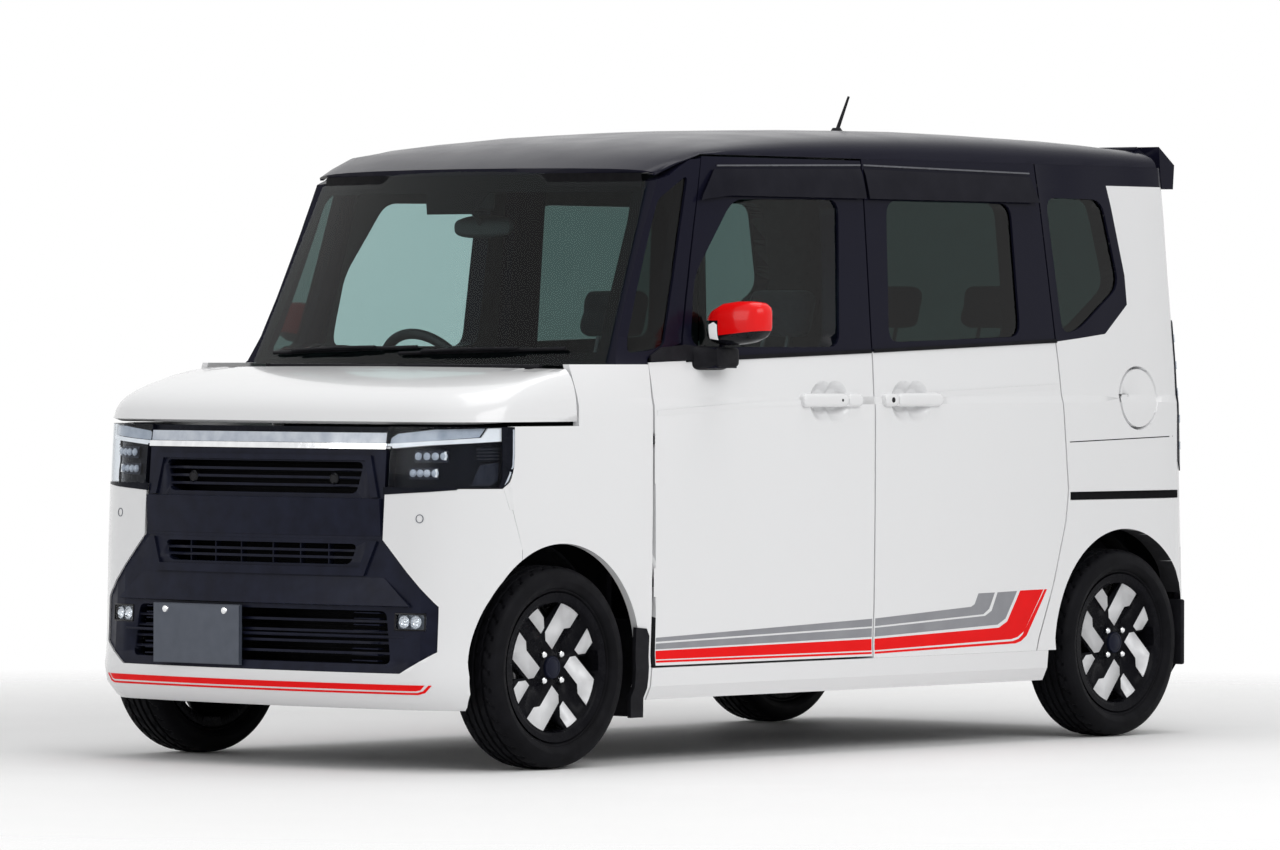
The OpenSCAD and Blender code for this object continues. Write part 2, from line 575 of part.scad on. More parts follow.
// Panes are drawn a hair smaller than the openings round them
function shrunk(p) = let(n = len(p),
    c = [[for (q = p) q[0]] * [for (q = p) 1], [for (q = p) q[1]] * [for (q = p) 1]] / n)
  [for (q = p) q + unit(c - q) * seat * 1.6];
module pane(points, x0, x1, r) {
  z = [for (p = points) p[1]];
  intersection() {
    panel(t_x(x0), t_x(x1), min(z) - over, max(z) + over, glass_t, glass_d);
    side_prism(shrunk(points), r);
  }
}
module front_door_left() {
  color(white) door_left();
}
module front_door_right() {
  color(white) mirror([0, 1, 0]) door_left();
}
module door_glass_left() {
  color(clear) pane(front_window, x_a - over, x_b, window_r);
}
module door_glass_right() {
  mirror([0, 1, 0]) door_glass_left();
}
module side_glass() {
  color(dark) both() {
    pane(slide_window, x_b, x_c, window_r);
    pane(side_points(quarter_window_shares), x_c + 5 * over, x_side_r, window_r);
    pane(side_points(corner_window_shares), corner_x0 + over, corner_x1, window_r / 2);
  }
}
module sliding_doors() {
  color(white) both() {
    difference() {
      intersection() {
        panel(t_x(x_b), t_x(x_c - 4 * over), sill_top + seat, roof_seam_z - seat, wall);
        side_prism(slide_points);
      }
      side_prism(slide_window, window_r);
      grip_pocket(x_b - handle_l / 2 - 2 * over);
    }
    grip(x_b - handle_l - 2 * over);
  }
}

// Rear quarter with arch, window, lid recess and the sliding door's rail slot
lid_x = axle_f - 0.76289 * body_l;
lid_z = 0.56034 * body_h;
lid_r = 86;
lid_t = 14;
rail_z = 0.4 * body_h;
rail_h = 25;
rail_d = 24;
lid_gap = 9;
lid_eye_r = 4;
lid_axis_x = lid_x + 0.63 * lid_r;
lid_axis_y = body(t_x(lid_axis_x), lid_z)[1] - 1.4 * lid_eye_r;
lid_depth = 40;
lid_floor_y = lid_axis_y - lid_depth;
lid_eye_w = 12;
lid_pin_r = 2;
tail_t = 3.45;
rear_seam_x = axle_r - 0.08837 * body_l;
module quarter(lid) {
  difference() {
    intersection() {
      panel(t_x(x_c + 8 * over), 3.99, sill_z, roof_seam_z - seat, wall);
      side_prism(quarter_points);
    }
    rod_y(axle_r, arch_z, arch_r, 0, body_w);
    side_prism(side_points(quarter_window_shares), window_r);
    rear_lamp_space(seat);
    side_prism([[rear_seam_x, 0], [rear_seam_x, rear_bumper_z], [-body_l, rear_bumper_z], [-body_l, 0]]);
    block(-body_l, x_c - over, half_w - rail_d, half_w + over, rail_z - rail_h / 2, rail_z + rail_h / 2);
    if (lid) rod_y(lid_x, lid_z, lid_r + lid_gap, lid_floor_y, half_w + over);
  }
  if (lid) translate([lid_axis_x, lid_axis_y, lid_z]) rotate([0, 0, -90]) eye(lid_depth + shut,
      lid_eye_r, lid_eye_w, lid_pin_r);
}
module quarter_panels() {
  color(white) {
    quarter(true);
    mirror([0, 1, 0]) quarter(false);
  }
}
module rear_lamp_space(g) {
  block(-body_l, body(tail_t, tail_z1)[0] + g, half_w / 3, half_w + over, tail_z0 - g, tail_z1 + g);
}
module tail_lamps() {
  color(red) both() intersection() {
    panel(3.2, 4 - 0.01, tail_z0, tail_z1, wall);
    rear_lamp_space(0);
  }
}
flap_t = 8;
module rear_bumper() {
  color(white) difference() {
    panel(3, 7, sill_z, rear_bumper_z - seat, skin);
    block(rear_seam_x - seat, 0, -body_w, body_w, 0, body_h);
    both() rod_y(axle_r, arch_z, arch_r, 0, body_w);
    both() block(axle_r - arch_r - flap_t - seat, axle_r - arch_r + seat, 0, half_w - 7 * over + seat,
        0, arch_z);
  }
}

// Tailgate, its window and the spoiler with the hinge nose
gate_bottom_z = rear_bumper_z + shut;
gate_top_z = 0.92849 * body_h;
gate_t = 54;
gate_window_y0 = 0.35932 * body_w;
gate_window_y1 = 0.33898 * body_w;
gate_window_z0 = 0.60335 * body_h;
gate_window_z1 = 0.89385 * body_h;
function gate_window(g) = mirrored([[gate_window_y0 - g, gate_window_z0 + g],
    [gate_window_y1 - g, gate_window_z1 - g]]);
plate_hole_y = 0.07119 * body_w;
plate_hole_z = 0.46369 * body_h;
plate_hole_r = 3;
module tailgate() {
  t0 = 4 + 0.04;
  color(white) difference() {
    panel(t0, 10 - t0, gate_bottom_z, gate_top_z, gate_t);
    front_prism(gate_window(0), window_r, -half_l - over, -half_l + 16 * over);
    both() translate([-half_l, plate_hole_y, plate_hole_z]) rotate([0, 90, 0]) cylinder(h = 4 * over,
        r = plate_hole_r);
  }
}
module tailgate_glass() {
  color(dark) intersection() {
    panel(4.05, 10 - 4.05, gate_window_z0 - over, gate_window_z1 + over, glass_t, glass_d);
    front_prism(gate_window(seat), window_r, -half_l - over, -half_l + 16 * over);
  }
}
spoiler_y = 0.398 * body_w;
wing_y = 0.434 * body_w;
spoiler_l = 117;
spoiler_drop = 54;
wing_d = 34;
// Section of the spoiler behind the hinge: top, tip, underside and a face that stands clear of what is before it
function wing_points(x, g, back) = let(top = gate_z + nose_r - g, low = gate_top_z - wing_d + g)
  [[x, top], [gate_x - spoiler_l + g, top - spoiler_drop], [gate_x - spoiler_l + 0.3 * over + g, low],
    [tail_face_x - back - 0.4 * over, low], [tail_face_x - back, gate_top_z + seat + g], [x, gate_top_z + seat + g]];
tail_face_x = body(5, gate_top_z - wing_d)[0];
module wing(x, g, back, y) {
  translate([0, y, 0]) rotate([90, 0, 0]) linear_extrude(2 * y) polygon(wing_points(x, g, back));
}
module spoiler() {
  foot = gate_top_z + seat;
  h = gate_z + nose_r - foot;
  color(black) {
    difference() {
      union() {
        wing(gate_x, over / 10, 0.6 * over, spoiler_y);
        wing(gate_x - 2 * over, 0, 2.2 * over, wing_y);
        translate([0, spoiler_y, 0]) rotate([90, 0, 0]) linear_extrude(2 * spoiler_y)
          polygon([[gate_x - over, foot], [gate_x + gate_lip, foot],
              [gate_x + gate_lip, foot + gate_lip / 2],
            [gate_x - over / 10, foot + h * 0.4], [gate_x - over, foot + h * 0.4]]);
        rod_y(gate_x, gate_z, nose_r, -spoiler_y, spoiler_y);
      }
      both() block(gate_x - eye_r - shut, gate_x + 4 * over, gate_hinge_y - pocket / 2,
          gate_hinge_y + pocket / 2,
        gate_z - eye_r - shut, gate_z + 4 * over);
    }
    both() rod_y(gate_x, gate_z, pin_r, gate_hinge_y - pocket / 2 - pin_grip,
        gate_hinge_y + pocket / 2 + pin_grip);
  }
}
nose_r = 10;
gate_lip = 30;
module fuel_lid() {
  h = lid_eye_w + 2 * shut;
  color(white) {
    difference() {
      intersection() {
        panel(t_x(lid_x + 2 * lid_r), t_x(lid_x - 2 * lid_r), lid_z - 2 * lid_r, lid_z + 2 * lid_r, lid_t);
        rod_y(lid_x, lid_z, lid_r, half_w - 4 * lid_t, half_w + over);
      }
      block(lid_axis_x - shut, lid_x + 2 * lid_r, 0, lid_axis_y + 1.15 * lid_eye_r, lid_z - h / 2,
          lid_z + h / 2);
    }
    rod_z(lid_axis_x, lid_axis_y, lid_pin_r, lid_z - h / 2 - pin_grip, lid_z + h / 2 + pin_grip);
  }
}

// Mirror: a rounded housing that folds on the pin of the door's mirror foot, round about that pin
mirror_w = 160;
mirror_h = 123;
mirror_t = 84;
mirror_turn_r = 44;
module mirror_left() {
  color(red) difference() {
    union() {
      rod_z(mirror_x, mirror_y, mirror_turn_r, mirror_z, mirror_z + mirror_h * 0.9);
      translate([mirror_x - mirror_t / 2, mirror_y, mirror_z]) rotate([90, 0, 90]) linear_extrude(mirror_t)
        polygon(eased([[-over / 2, 0], [mirror_w, mirror_h * 0.12], [mirror_w, mirror_h],
            [-over / 2, mirror_h * 0.95]],
          mirror_h / 5));
    }
    rod_z(mirror_x, mirror_y, pin_r * 2 + fit, mirror_z - over, mirror_z + mirror_pin_h + seat);
  }
}
module mirror_right() {
  mirror([0, 1, 0]) mirror_left();
}

// Floor, sills and bulkhead
fire_x = axle_f - 0.10751 * body_l;
fire_t = 20;
floor_t = 30;
floor_y = 0.4 * body_w;
rear_floor_x = axle_r + 0.12371 * body_l;
rear_floor_z = 0.31285 * body_h;
rear_floor_y = 0.29831 * body_w;
rear_floor_end = -half_l + 0.02651 * body_l;
module floor_pan() {
  color(trim) {
    block(rear_floor_x, fire_x, -floor_y, floor_y, floor_z - floor_t, floor_z);
    block(rear_floor_x, rear_floor_x + floor_t, -floor_y, floor_y, floor_z - floor_t, rear_floor_z);
    block(rear_floor_end, rear_floor_x + floor_t, -rear_floor_y, rear_floor_y, rear_floor_z - floor_t,
        rear_floor_z);
  }
}
sill_end_x = axle_r + arch_r + 1.8 * over;
module sills() {
  color(white) both() {
    difference() {
      panel(t_x(x_a + 0), t_x(sill_end_x), sill_z, sill_top, half_w - floor_y - 3 * over);
      rod_y(axle_r, arch_z, arch_r, 0, body_w);
    }
    block(sill_end_x, x_a, floor_y + seat, half_w - 3 * over, sill_z + over, sill_top - shut);
  }
}
apron_y = 0.26576 * body_w;
apron_t = 12;
apron_z0 = 0.32961 * body_h;
apron_z1 = 0.49162 * body_h;
tower_z = 0.41453 * body_h;
rail_x0 = axle_f - 0.08837 * body_l;
rail_l = 90;
cowl_t = 16;
cowl_top = 1062;
king_y = hub_y - 3 * over;
king_tilt = 13.5;
strut_r = 20;
spring_r = 46;
strut_h = 464;
top_pin_r = 12;
ball_r = 10;
module king_frame() {
  translate([axle_f, king_y, hub_z]) rotate([king_tilt, 0, 0]) children();
}
module bulkhead() {
  color(trim) {
    block(fire_x, fire_x + fire_t, -floor_y, floor_y, floor_z - floor_t, cowl_top);
    block(fire_x, cowl_x - 3 * over, -floor_y, floor_y, cowl_top - cowl_t, cowl_top);
    both() {
      block(fire_x, axle_f + 4 * rail_l, apron_y, apron_y + apron_t, apron_z0, apron_z1);
      difference() {
        block(axle_f - rail_l, axle_f + rail_l, apron_y, king_y, tower_z, tower_z + cowl_t * 2);
        king_frame() cylinder(h = body_h, r = top_pin_r + fit);
      }
      difference() {
        block(rail_x0, rail_x0 + rail_l, apron_y, half_w, apron_z1 - rail_l, apron_z1);
        panel(t_x(rail_x0 + 3 * rail_l), t_x(rail_x0 - rail_l), apron_z0, cowl_top, over + skin + seat,
            -over);
      }
      translate([bonnet_pin_x, bonnet_pin_y, bonnet_pin_z]) rotate([-90, 0, 0]) rotate([0, 0,
          155]) eye(eye_l * 2.4);
    }
  }
}
liner_y = 0.38983 * body_w;
module wheel_liners() {
  color(trim) both() {
    for (a = [[axle_f, apron_y + apron_t + seat], [axle_r, rear_floor_y + seat]]) difference() {
      rod_y(a[0], arch_z, arch_r + 2 * shut, a[1], liner_y);
      rod_y(a[0], arch_z, arch_r + shut, 0, body_w);
      block(-body_l, body_l, 0, body_w, -body_h, arch_z + 3 * over);
      king_frame() cylinder(h = body_h, r = spring_r + 2 * shut);
    }
  }
}
flap_z0 = 0.06704 * body_h;
flap_z1 = 0.13966 * body_h;
module mud_flaps() {
  color(trim) both() {
    block(x_a + seat, x_a + flap_t, hub_y - tyre_w / 2, half_w - skin - 2 * over, flap_z0, flap_z1);
    block(axle_r - arch_r - flap_t, axle_r - arch_r, hub_y - tyre_w * 0.6, half_w - 7 * over,
        flap_z0 + over, arch_z + 3 * over - seat);
  }
}

// Interior
dash_y = 0.37966 * body_w;
dash_x1 = axle_f - 0.17673 * body_l;
dash_z0 = 0.35754 * body_h;
dash_z1 = 0.58771 * body_h;
column_x = axle_f - 0.18851 * body_l;
column_y = -0.23051 * body_w;
column_z = 0.58101 * body_h;
column_a = 28;
column_r = 32;
shaft_r = 12;
steer_t = 15;
module column_frame() {
  translate([column_x, column_y, column_z]) rotate([0, column_a - 90, 0]) children();
}
module dashboard() {
  l = fire_x - seat - dash_x1;
  h = dash_z1 - dash_z0;
  color(trim) difference() {
    union() {
      translate([0, dash_y, 0]) rotate([90, 0, 0]) linear_extrude(2 * dash_y)
        polygon(eased([[fire_x - seat, dash_z0], [fire_x - seat, dash_z1],
            [dash_x1 + l * 0.25, dash_z1 - h * 0.05],
          [dash_x1, dash_z1 - h * 0.25], [dash_x1 + l * 0.15, dash_z0 + h * 0.3],
              [dash_x1 + l * 0.5, dash_z0]], h / 8));
      column_frame() translate([0, 0, -steer_r]) cylinder(h = steer_r * 0.75, r = column_r);
    }
    column_frame() translate([0, 0, -steer_r * 1.1]) cylinder(h = steer_r * 2, r = shaft_r + fit);
  }
}
module steering_wheel() {
  color(trim) column_frame() {
    rotate_extrude() translate([steer_r - steer_t, 0]) circle(r = steer_t);
    translate([0, 0, -steer_t * 1.6]) cylinder(h = steer_t * 2.4, r = steer_r * 0.36);
    translate([0, 0, -steer_r]) cylinder(h = steer_r, r = shaft_r);
    translate([-steer_t, -steer_r + steer_t, -steer_t]) cube([steer_t * 2, 2 * (steer_r - steer_t),
        steer_t]);
    translate([-steer_r + steer_t, -steer_t * 1.4, -steer_t]) cube([steer_r - steer_t, steer_t * 2.8,
        steer_t]);
  }
}
seat_w = 480;
seat_y0 = 0.05288 * body_w;
seat_z0 = 0.26257 * body_h;
seat_z1 = 0.35754 * body_h;
front_seat_x = axle_f - 0.20619 * body_l;
cushion_l = 470;
back_h = 610;
back_t = 120;
back_lean = 14;
rest_h = 150;
module seat_side(x, y0, w, p, r) {
  translate([x, y0 + w, 0]) rotate([90, 0, 0]) linear_extrude(w) polygon(eased(p, r));
}
// Chair of cushion, leaning back and head restraints, with its foot height and cushion height
module chair(x, y0, w, z0, z1, rests) {
  s = tan(back_lean);
  top = z1 + back_h - cushion_l / 4;
  seat_side(x, y0, w, [[0, z0], [0, z1], [-cushion_l, z1 - over], [-cushion_l, z0]], 2 * over);
  seat_side(x - cushion_l - seat, y0, w, [[0, z0], [-back_t, z0], [-back_t - back_h * s, top],
    [-back_t * 0.3 - back_h * s, top], [0, z1]], 2 * over);
  for (c = rests) translate([x - cushion_l - back_t * 0.65 - back_h * s, y0 + w * c, top + seat]) {
    translate([0, 0, rest_h / 2 + over]) cube([back_t * 0.7, w / len(rests) * 0.5, rest_h], center = true);
    for (k = [-1, 1]) translate([0, k * 2 * over, 0]) cylinder(h = 2 * over, r = post_r);
  }
}
post_r = 6;
module front_seats() {
  color(cloth) both() {
    chair(front_seat_x, seat_y0, seat_w, seat_z0, seat_z1, [0.5]);
    block(front_seat_x - cushion_l + 3 * over, front_seat_x - 3 * over, seat_y0 + 3 * over,
        seat_y0 + seat_w - 3 * over,
      floor_z, seat_z0 + over);
  }
}
rear_seat_x = axle_f - 0.54197 * body_l;
bench_y = 0.29153 * body_w;
bench_h = 130;
module rear_seat() {
  z = rear_floor_z + seat;
  color(cloth) chair(rear_seat_x, -bench_y, 2 * bench_y, z, z + bench_h, [0.26, 0.74]);
}

// Running gear
engine_x0 = axle_f - 0.03535 * body_l;
engine_x1 = axle_f + 0.07953 * body_l;
engine_y = 0.24407 * body_w;
engine_z0 = 0.13408 * body_h;
engine_z1 = 0.44693 * body_h;
module engine() {
  color(steel) block(engine_x0, engine_x1, -engine_y, engine_y, engine_z0 + seat, engine_z1);
}
arm_z = 0.0838 * body_h;
arm_h = 22;
frame_y = 0.25085 * body_w;
frame_h = 70;
module front_subframe() {
  color(trim) {
    block(engine_x0 - over, engine_x1 - 3 * over, -frame_y, frame_y, engine_z0 - frame_h, engine_z0);
    block(fire_x - 4 * over, engine_x0, -frame_y, -frame_y + 4 * over, engine_z0 - frame_h, engine_z0);
    block(fire_x - 4 * over, engine_x0, frame_y - 4 * over, frame_y, engine_z0 - frame_h, engine_z0);
    both() block(fire_x - 4 * over, fire_x - over, frame_y - 4 * over, frame_y, engine_z0 - frame_h,
        floor_z - floor_t - seat);
    both() {
      block(axle_f - arm_h, axle_f + arm_h, frame_y - over, king_y + 2 * arm_h, arm_z, arm_z + arm_h);
      block(axle_f - arm_h, axle_f + arm_h, frame_y - 2 * over, frame_y, arm_z, engine_z0);
      king_frame() translate([0, 0, -ball_low]) cylinder(h = ball_low - ball_top, r = ball_r);
    }
  }
}
ball_low = 118;
ball_top = 62;
carrier_l = 46;
carrier_h = 92;
module knuckle() {
  color(steel) {
    difference() {
      union() {
        king_frame() translate([-carrier_l, -carrier_l * 0.75, -carrier_h]) cube([2 * carrier_l,
            carrier_l * 1.3, 2 * carrier_h]);
        king_frame() cylinder(h = strut_h, r = strut_r);
        king_frame() translate([0, 0, strut_h * 0.68]) cylinder(h = strut_h * 0.26, r = spring_r);
        king_frame() cylinder(h = strut_h + 3 * over, r = top_pin_r);
        rod_y(axle_f, hub_z, spindle_r, king_y, hub_y + hub_end);
      }
      king_frame() translate([0, 0, -body_h]) cylinder(h = body_h - ball_top + seat, r = ball_r + fit);
    }
  }
}
hub_end = 30;
module knuckle_left() {
  knuckle();
}
module knuckle_right() {
  mirror([0, 1, 0]) knuckle();
}
beam_x = axle_r + 0.05596 * body_l;
beam_r = 36;
beam_z = 0.18436 * body_h;
trail_y = 0.33898 * body_w;
trail_w = 50;
coil_r = 48;
module rear_axle() {
  color(trim) {
    rod_y(beam_x, beam_z, beam_r, -trail_y, trail_y);
    both() {
      block(axle_r - trail_w, rear_floor_x - 2 * over, trail_y - trail_w / 2, trail_y + trail_w / 2,
          hub_z - trail_w / 2, hub_z + trail_w);
      rod_y(axle_r, hub_z, spindle_r, trail_y, hub_y + hub_end);
      rod_y(axle_r, hub_z, spindle_r * 3, trail_y, king_y - over);
      rod_z(beam_x, trail_y - 2 * coil_r, coil_r, beam_z, rear_floor_z - floor_t - seat);
    }
  }
}
tank_l = 620;
tank_y0 = -0.04068 * body_w;
tank_y1 = 0.32542 * body_w;
tank_h = 105;
module fuel_tank() {
  color(trim) block(front_seat_x - cushion_l - tank_l, front_seat_x - cushion_l, tank_y0, tank_y1,
      floor_z - floor_t - tank_h, floor_z - floor_t - seat);
}
pipe_y = -0.16949 * body_w;
pipe_z = 0.12402 * body_h;
pipe_r = 24;
muffler_r = 80;
muffler_l = 380;
muffler_x = -half_l + 0.03829 * body_l;
module exhaust() {
  color(steel) {
    translate([muffler_x, pipe_y, pipe_z]) rotate([0, 90,
        0]) cylinder(h = engine_x0 - over - seat - muffler_x, r = pipe_r);
    translate([muffler_x, pipe_y, pipe_z + pipe_r]) rotate([0, 90, 0]) cylinder(h = muffler_l,
        r = muffler_r);
    block(muffler_x + over, muffler_x + 2 * over, pipe_y - over, pipe_y + over, pipe_z,
        rear_floor_z - floor_t - seat);
    block(0, over, pipe_y - over, pipe_y + over, pipe_z, floor_z - floor_t - seat);
  }
}
wiper_x = axle_f - 0.04418 * body_l;
wiper_r = 9;
wiper_l = 520;
wiper_ys = [-470, 30];
module wipers() {
  color(trim) for (y = wiper_ys) {
    rod_z(wiper_x + 2 * over, y, wiper_r * 1.5, cowl_top + seat, cowl_top + 2 * over);
    rod_y(wiper_x + 2 * over, cowl_top + over * 1.6, wiper_r, y, y + wiper_l);
  }
}
mast_x = axle_f - 0.60677 * body_l;
mast_h = 120;
mast_lean = 28;
mast_r = 6;
module antenna() {
  u = (roof_x0 + roof_bow - mast_x) / (roof_x0 + roof_bow - roof_rear_x);
  z = roof_point(u, 8, 1)[2];
  color(black) translate([mast_x, 0, z + seat]) {
    cylinder(h = 3 * mast_r, r1 = 4 * mast_r, r2 = 2 * mast_r);
    translate([0, 0, mast_r]) rotate([0, -mast_lean, 0]) cylinder(h = mast_h, r1 = mast_r,
        r2 = mast_r * 0.6);
  }
}

// Wheels: the axis is Z here and the outer face looks up
rim_w = 57;
flange_h = 14;
flange_r = rim_r + flange_h;
bead = 8;
barrel_t = 12;
face_z = 44;
face_t = 22;
hub_r = 62;
bolt_circle_r = 50;
bolt_r = 7;
island_h = 4;
// Raised islands and the gap between the spokes, as shares of rim_r; each comes round four times
long_shares = [[-0.15, 0.51], [0.26, 0.99], [0.63, 0.81], [0.39, 0.56], [0.26, 0.55], [0, 0.26],
    [-0.14, 0.39]];
short_shares = [[-0.62, 0.83], [-0.4, 0.95], [-0.18, 0.72], [-0.17, 0.57], [-0.24, 0.49]];
gap_shares = [[-0.14, 0.57], [-0.15, 0.74], [-0.35, 0.99], [0.22, 1]];
module four() {
  for (a = [0:90:270]) rotate([0, 0, a]) children();
}
module wheel() {
  in_r = rim_r - barrel_t;
  difference() {
    union() {
      rotate_extrude() polygon([[in_r, -rim_w - bead], [flange_r, -rim_w - bead], [flange_r, -rim_w],
        [rim_r, -rim_w + bead], [rim_r, rim_w - bead], [flange_r, rim_w], [flange_r, rim_w + bead],
        [in_r, rim_w + bead / 2]]);
      cylinder(h = face_z, r = hub_r);
      difference() {
        translate([0, 0, face_z - face_t]) cylinder(h = face_t, r = rim_r - barrel_t / 2);
        four() translate([0, 0,
            face_z - 2 * face_t]) linear_extrude(3 * face_t) polygon(gap_shares * rim_r);
      }
      intersection() {
        cylinder(h = 2 * face_z, r = rim_r - barrel_t / 2);
        four() translate([0, 0, face_z - face_t / 2]) {
          linear_extrude(face_t / 2 + island_h) polygon(long_shares * rim_r);
          linear_extrude(face_t / 2 + island_h) polygon(short_shares * rim_r);
        }
      }
    }
    translate([0, 0, -face_z]) cylinder(h = face_z + hub_end + seat, r = spindle_r + fit);
    four() rotate([0, 0, 45]) translate([bolt_circle_r, 0,
        face_z - face_t / 2]) cylinder(h = face_t * 2, r = bolt_r);
  }
}
// Tyre section: height above the rim's flange and half width, both as shares
tyre_shares = [[0.19, 0.93], [0.41, 1], [0.7, 0.96], [0.89, 0.855], [1, 0.636]];
module tyre() {
  h = tyre_r - flange_r;
  up = [for (p = tyre_shares) [flange_r + p[0] * h, p[1] * tyre_w / 2]];
  down = [for (i = [len(up) - 1:-1:0]) [up[i][0], -up[i][1]]];
  z = rim_w - bead - 4 * seat;
  rotate_extrude() polygon(concat([[rim_r + seat, -z], [rim_r + seat, z], [flange_r, rim_w - seat]], up,
      down,
    [[flange_r, -rim_w + seat]]));
}
module at_wheel(x, side) {
  translate([x, side * hub_y, hub_z]) rotate([-90 * side, 0, 0]) children();
}
module wheel_front_left() {
  color(steel) at_wheel(axle_f, 1) wheel();
}
module wheel_front_right() {
  color(steel) at_wheel(axle_f, -1) wheel();
}
module wheel_rear_left() {
  color(steel) at_wheel(axle_r, 1) wheel();
}
module wheel_rear_right() {
  color(steel) at_wheel(axle_r, -1) wheel();
}
module tyre_front_left() {
  color(trim) at_wheel(axle_f, 1) tyre();
}
module tyre_front_right() {
  color(trim) at_wheel(axle_f, -1) tyre();
}
module tyre_rear_left() {
  color(trim) at_wheel(axle_r, 1) tyre();
}
module tyre_rear_right() {
  color(trim) at_wheel(axle_r, -1) tyre();
}

floor_pan();
sills();
bulkhead();
pillars();
roof();
windscreen();
side_glass();
fenders();
front_bumper();
upper_grille();
lower_grille();
front_lamps();
number_plate();
quarter_panels();
tail_lamps();
rear_bumper();
sliding_doors();
wheel_liners();
mud_flaps();
dashboard();
front_seats();
rear_seat();
engine();
exhaust();
fuel_tank();
front_subframe();
rear_axle();
wipers();
antenna();
bonnet();
front_door_left();
front_door_right();
door_glass_left();
door_glass_right();
mirror_left();
mirror_right();
tailgate();
tailgate_glass();
spoiler();
fuel_lid();
knuckle_left();
knuckle_right();
steering_wheel();
wheel_front_left();
wheel_front_right();
wheel_rear_left();
wheel_rear_right();
tyre_front_left();
tyre_front_right();
tyre_rear_left();
tyre_rear_right();
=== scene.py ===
import json
import math
import numpy
import bpy
import bmesh
from mathutils import Matrix, Vector
from mathutils.bvhtree import BVHTree


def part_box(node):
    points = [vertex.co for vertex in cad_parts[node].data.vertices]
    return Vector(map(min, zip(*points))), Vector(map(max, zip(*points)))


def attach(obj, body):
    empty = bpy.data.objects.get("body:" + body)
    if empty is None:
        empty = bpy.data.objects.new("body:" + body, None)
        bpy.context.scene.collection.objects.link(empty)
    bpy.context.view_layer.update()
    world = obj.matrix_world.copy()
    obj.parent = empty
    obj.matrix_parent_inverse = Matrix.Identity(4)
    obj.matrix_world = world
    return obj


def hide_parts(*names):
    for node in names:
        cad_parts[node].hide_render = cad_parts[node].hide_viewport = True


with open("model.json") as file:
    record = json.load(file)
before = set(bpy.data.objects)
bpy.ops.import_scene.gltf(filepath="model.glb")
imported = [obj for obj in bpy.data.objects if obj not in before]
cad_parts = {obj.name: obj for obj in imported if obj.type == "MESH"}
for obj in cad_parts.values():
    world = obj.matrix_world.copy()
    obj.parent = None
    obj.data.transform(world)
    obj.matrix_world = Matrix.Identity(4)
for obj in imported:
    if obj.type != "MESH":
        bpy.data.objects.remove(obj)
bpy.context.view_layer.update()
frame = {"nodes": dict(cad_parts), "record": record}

print("frame loaded:", len(frame["nodes"]), "nodes")
scene = bpy.context.scene
scene.view_settings.view_transform = "Standard"

bodyOf = {}
for bodyName, members in frame["record"]["behaviour"]["bodies"].items():
    for member in members:
        bodyOf[member] = bodyName


# Materials: every finish reads Object coordinates

def nodeOf(tree, kind, **values):
    node = tree.nodes.new(kind)
    for key, value in values.items():
        if key in node.inputs:
            node.inputs[key].default_value = value
        else:
            setattr(node, key, value)
    return node


def startMaterial(name):
    mat = bpy.data.materials.new(name)
    mat.use_nodes = True
    tree = mat.node_tree
    coords = nodeOf(tree, "ShaderNodeTexCoord")
    return mat, tree, tree.nodes["Principled BSDF"], coords.outputs["Object"]


def noiseFrom(tree, coords, scale, detail=2.0):
    noise = nodeOf(tree, "ShaderNodeTexNoise", Scale=scale, Detail=detail)
    tree.links.new(coords, noise.inputs["Vector"])
    return noise.outputs["Fac"]


def spread(tree, value, low, high, outLow, outHigh):
    node = nodeOf(tree, "ShaderNodeMapRange")
    for key, number in (("From Min", low), ("From Max", high), ("To Min", outLow), ("To Max", outHigh)):
        node.inputs[key].default_value = number
    tree.links.new(value, node.inputs["Value"])
    return node.outputs["Result"]


def tint(tree, value, dark, light):
    mix = nodeOf(tree, "ShaderNodeMix", data_type="RGBA")
    mix.inputs["A"].default_value = (*dark, 1)
    mix.inputs["B"].default_value = (*light, 1)
    tree.links.new(value, mix.inputs["Factor"])
    return mix.outputs["Result"]


def bumpFrom(tree, value, shader, distance):
    bump = nodeOf(tree, "ShaderNodeBump", Strength=1.0, Distance=distance)
    tree.links.new(value, bump.inputs["Height"])
    tree.links.new(bump.outputs["Normal"], shader.inputs["Normal"])


def mathOf(tree, operation, *values):
    node = nodeOf(tree, "ShaderNodeMath", operation=operation)
    for value, slot in zip(values, node.inputs):
        if isinstance(value, float):
            slot.default_value = value
        else:
            tree.links.new(value, slot)
    return node.outputs[0]


def mixInto(tree, share, first, second, output):     # two shaders mixed into the tree's output
    mix = nodeOf(tree, "ShaderNodeMixShader")
    for source, slot in zip((share, first, second), mix.inputs):
        tree.links.new(source, slot)
    tree.links.new(mix.outputs["Shader"], tree.nodes[output].inputs["Surface"])


def finish(name, dark, light, scale=40, rough=(0.3, 0.4), grain=600, depth=0.0, metal=0.0, coat=0.0, shine=0.5):
    mat, tree, shader, coords = startMaterial(name)
    shader.inputs["Specular IOR Level"].default_value = shine
    cloud = spread(tree, noiseFrom(tree, coords, scale, 3.0), 0.3, 0.7, 0, 1)
    tree.links.new(tint(tree, cloud, dark, light), shader.inputs["Base Color"])
    tree.links.new(spread(tree, noiseFrom(tree, coords, scale * 2.3), 0.3, 0.7, *rough), shader.inputs["Roughness"])
    if depth:
        bumpFrom(tree, noiseFrom(tree, coords, grain), shader, depth)
    shader.inputs["Metallic"].default_value = metal
    shader.inputs["Coat Weight"].default_value = coat
    shader.inputs["Coat Roughness"].default_value = 0.03
    return mat


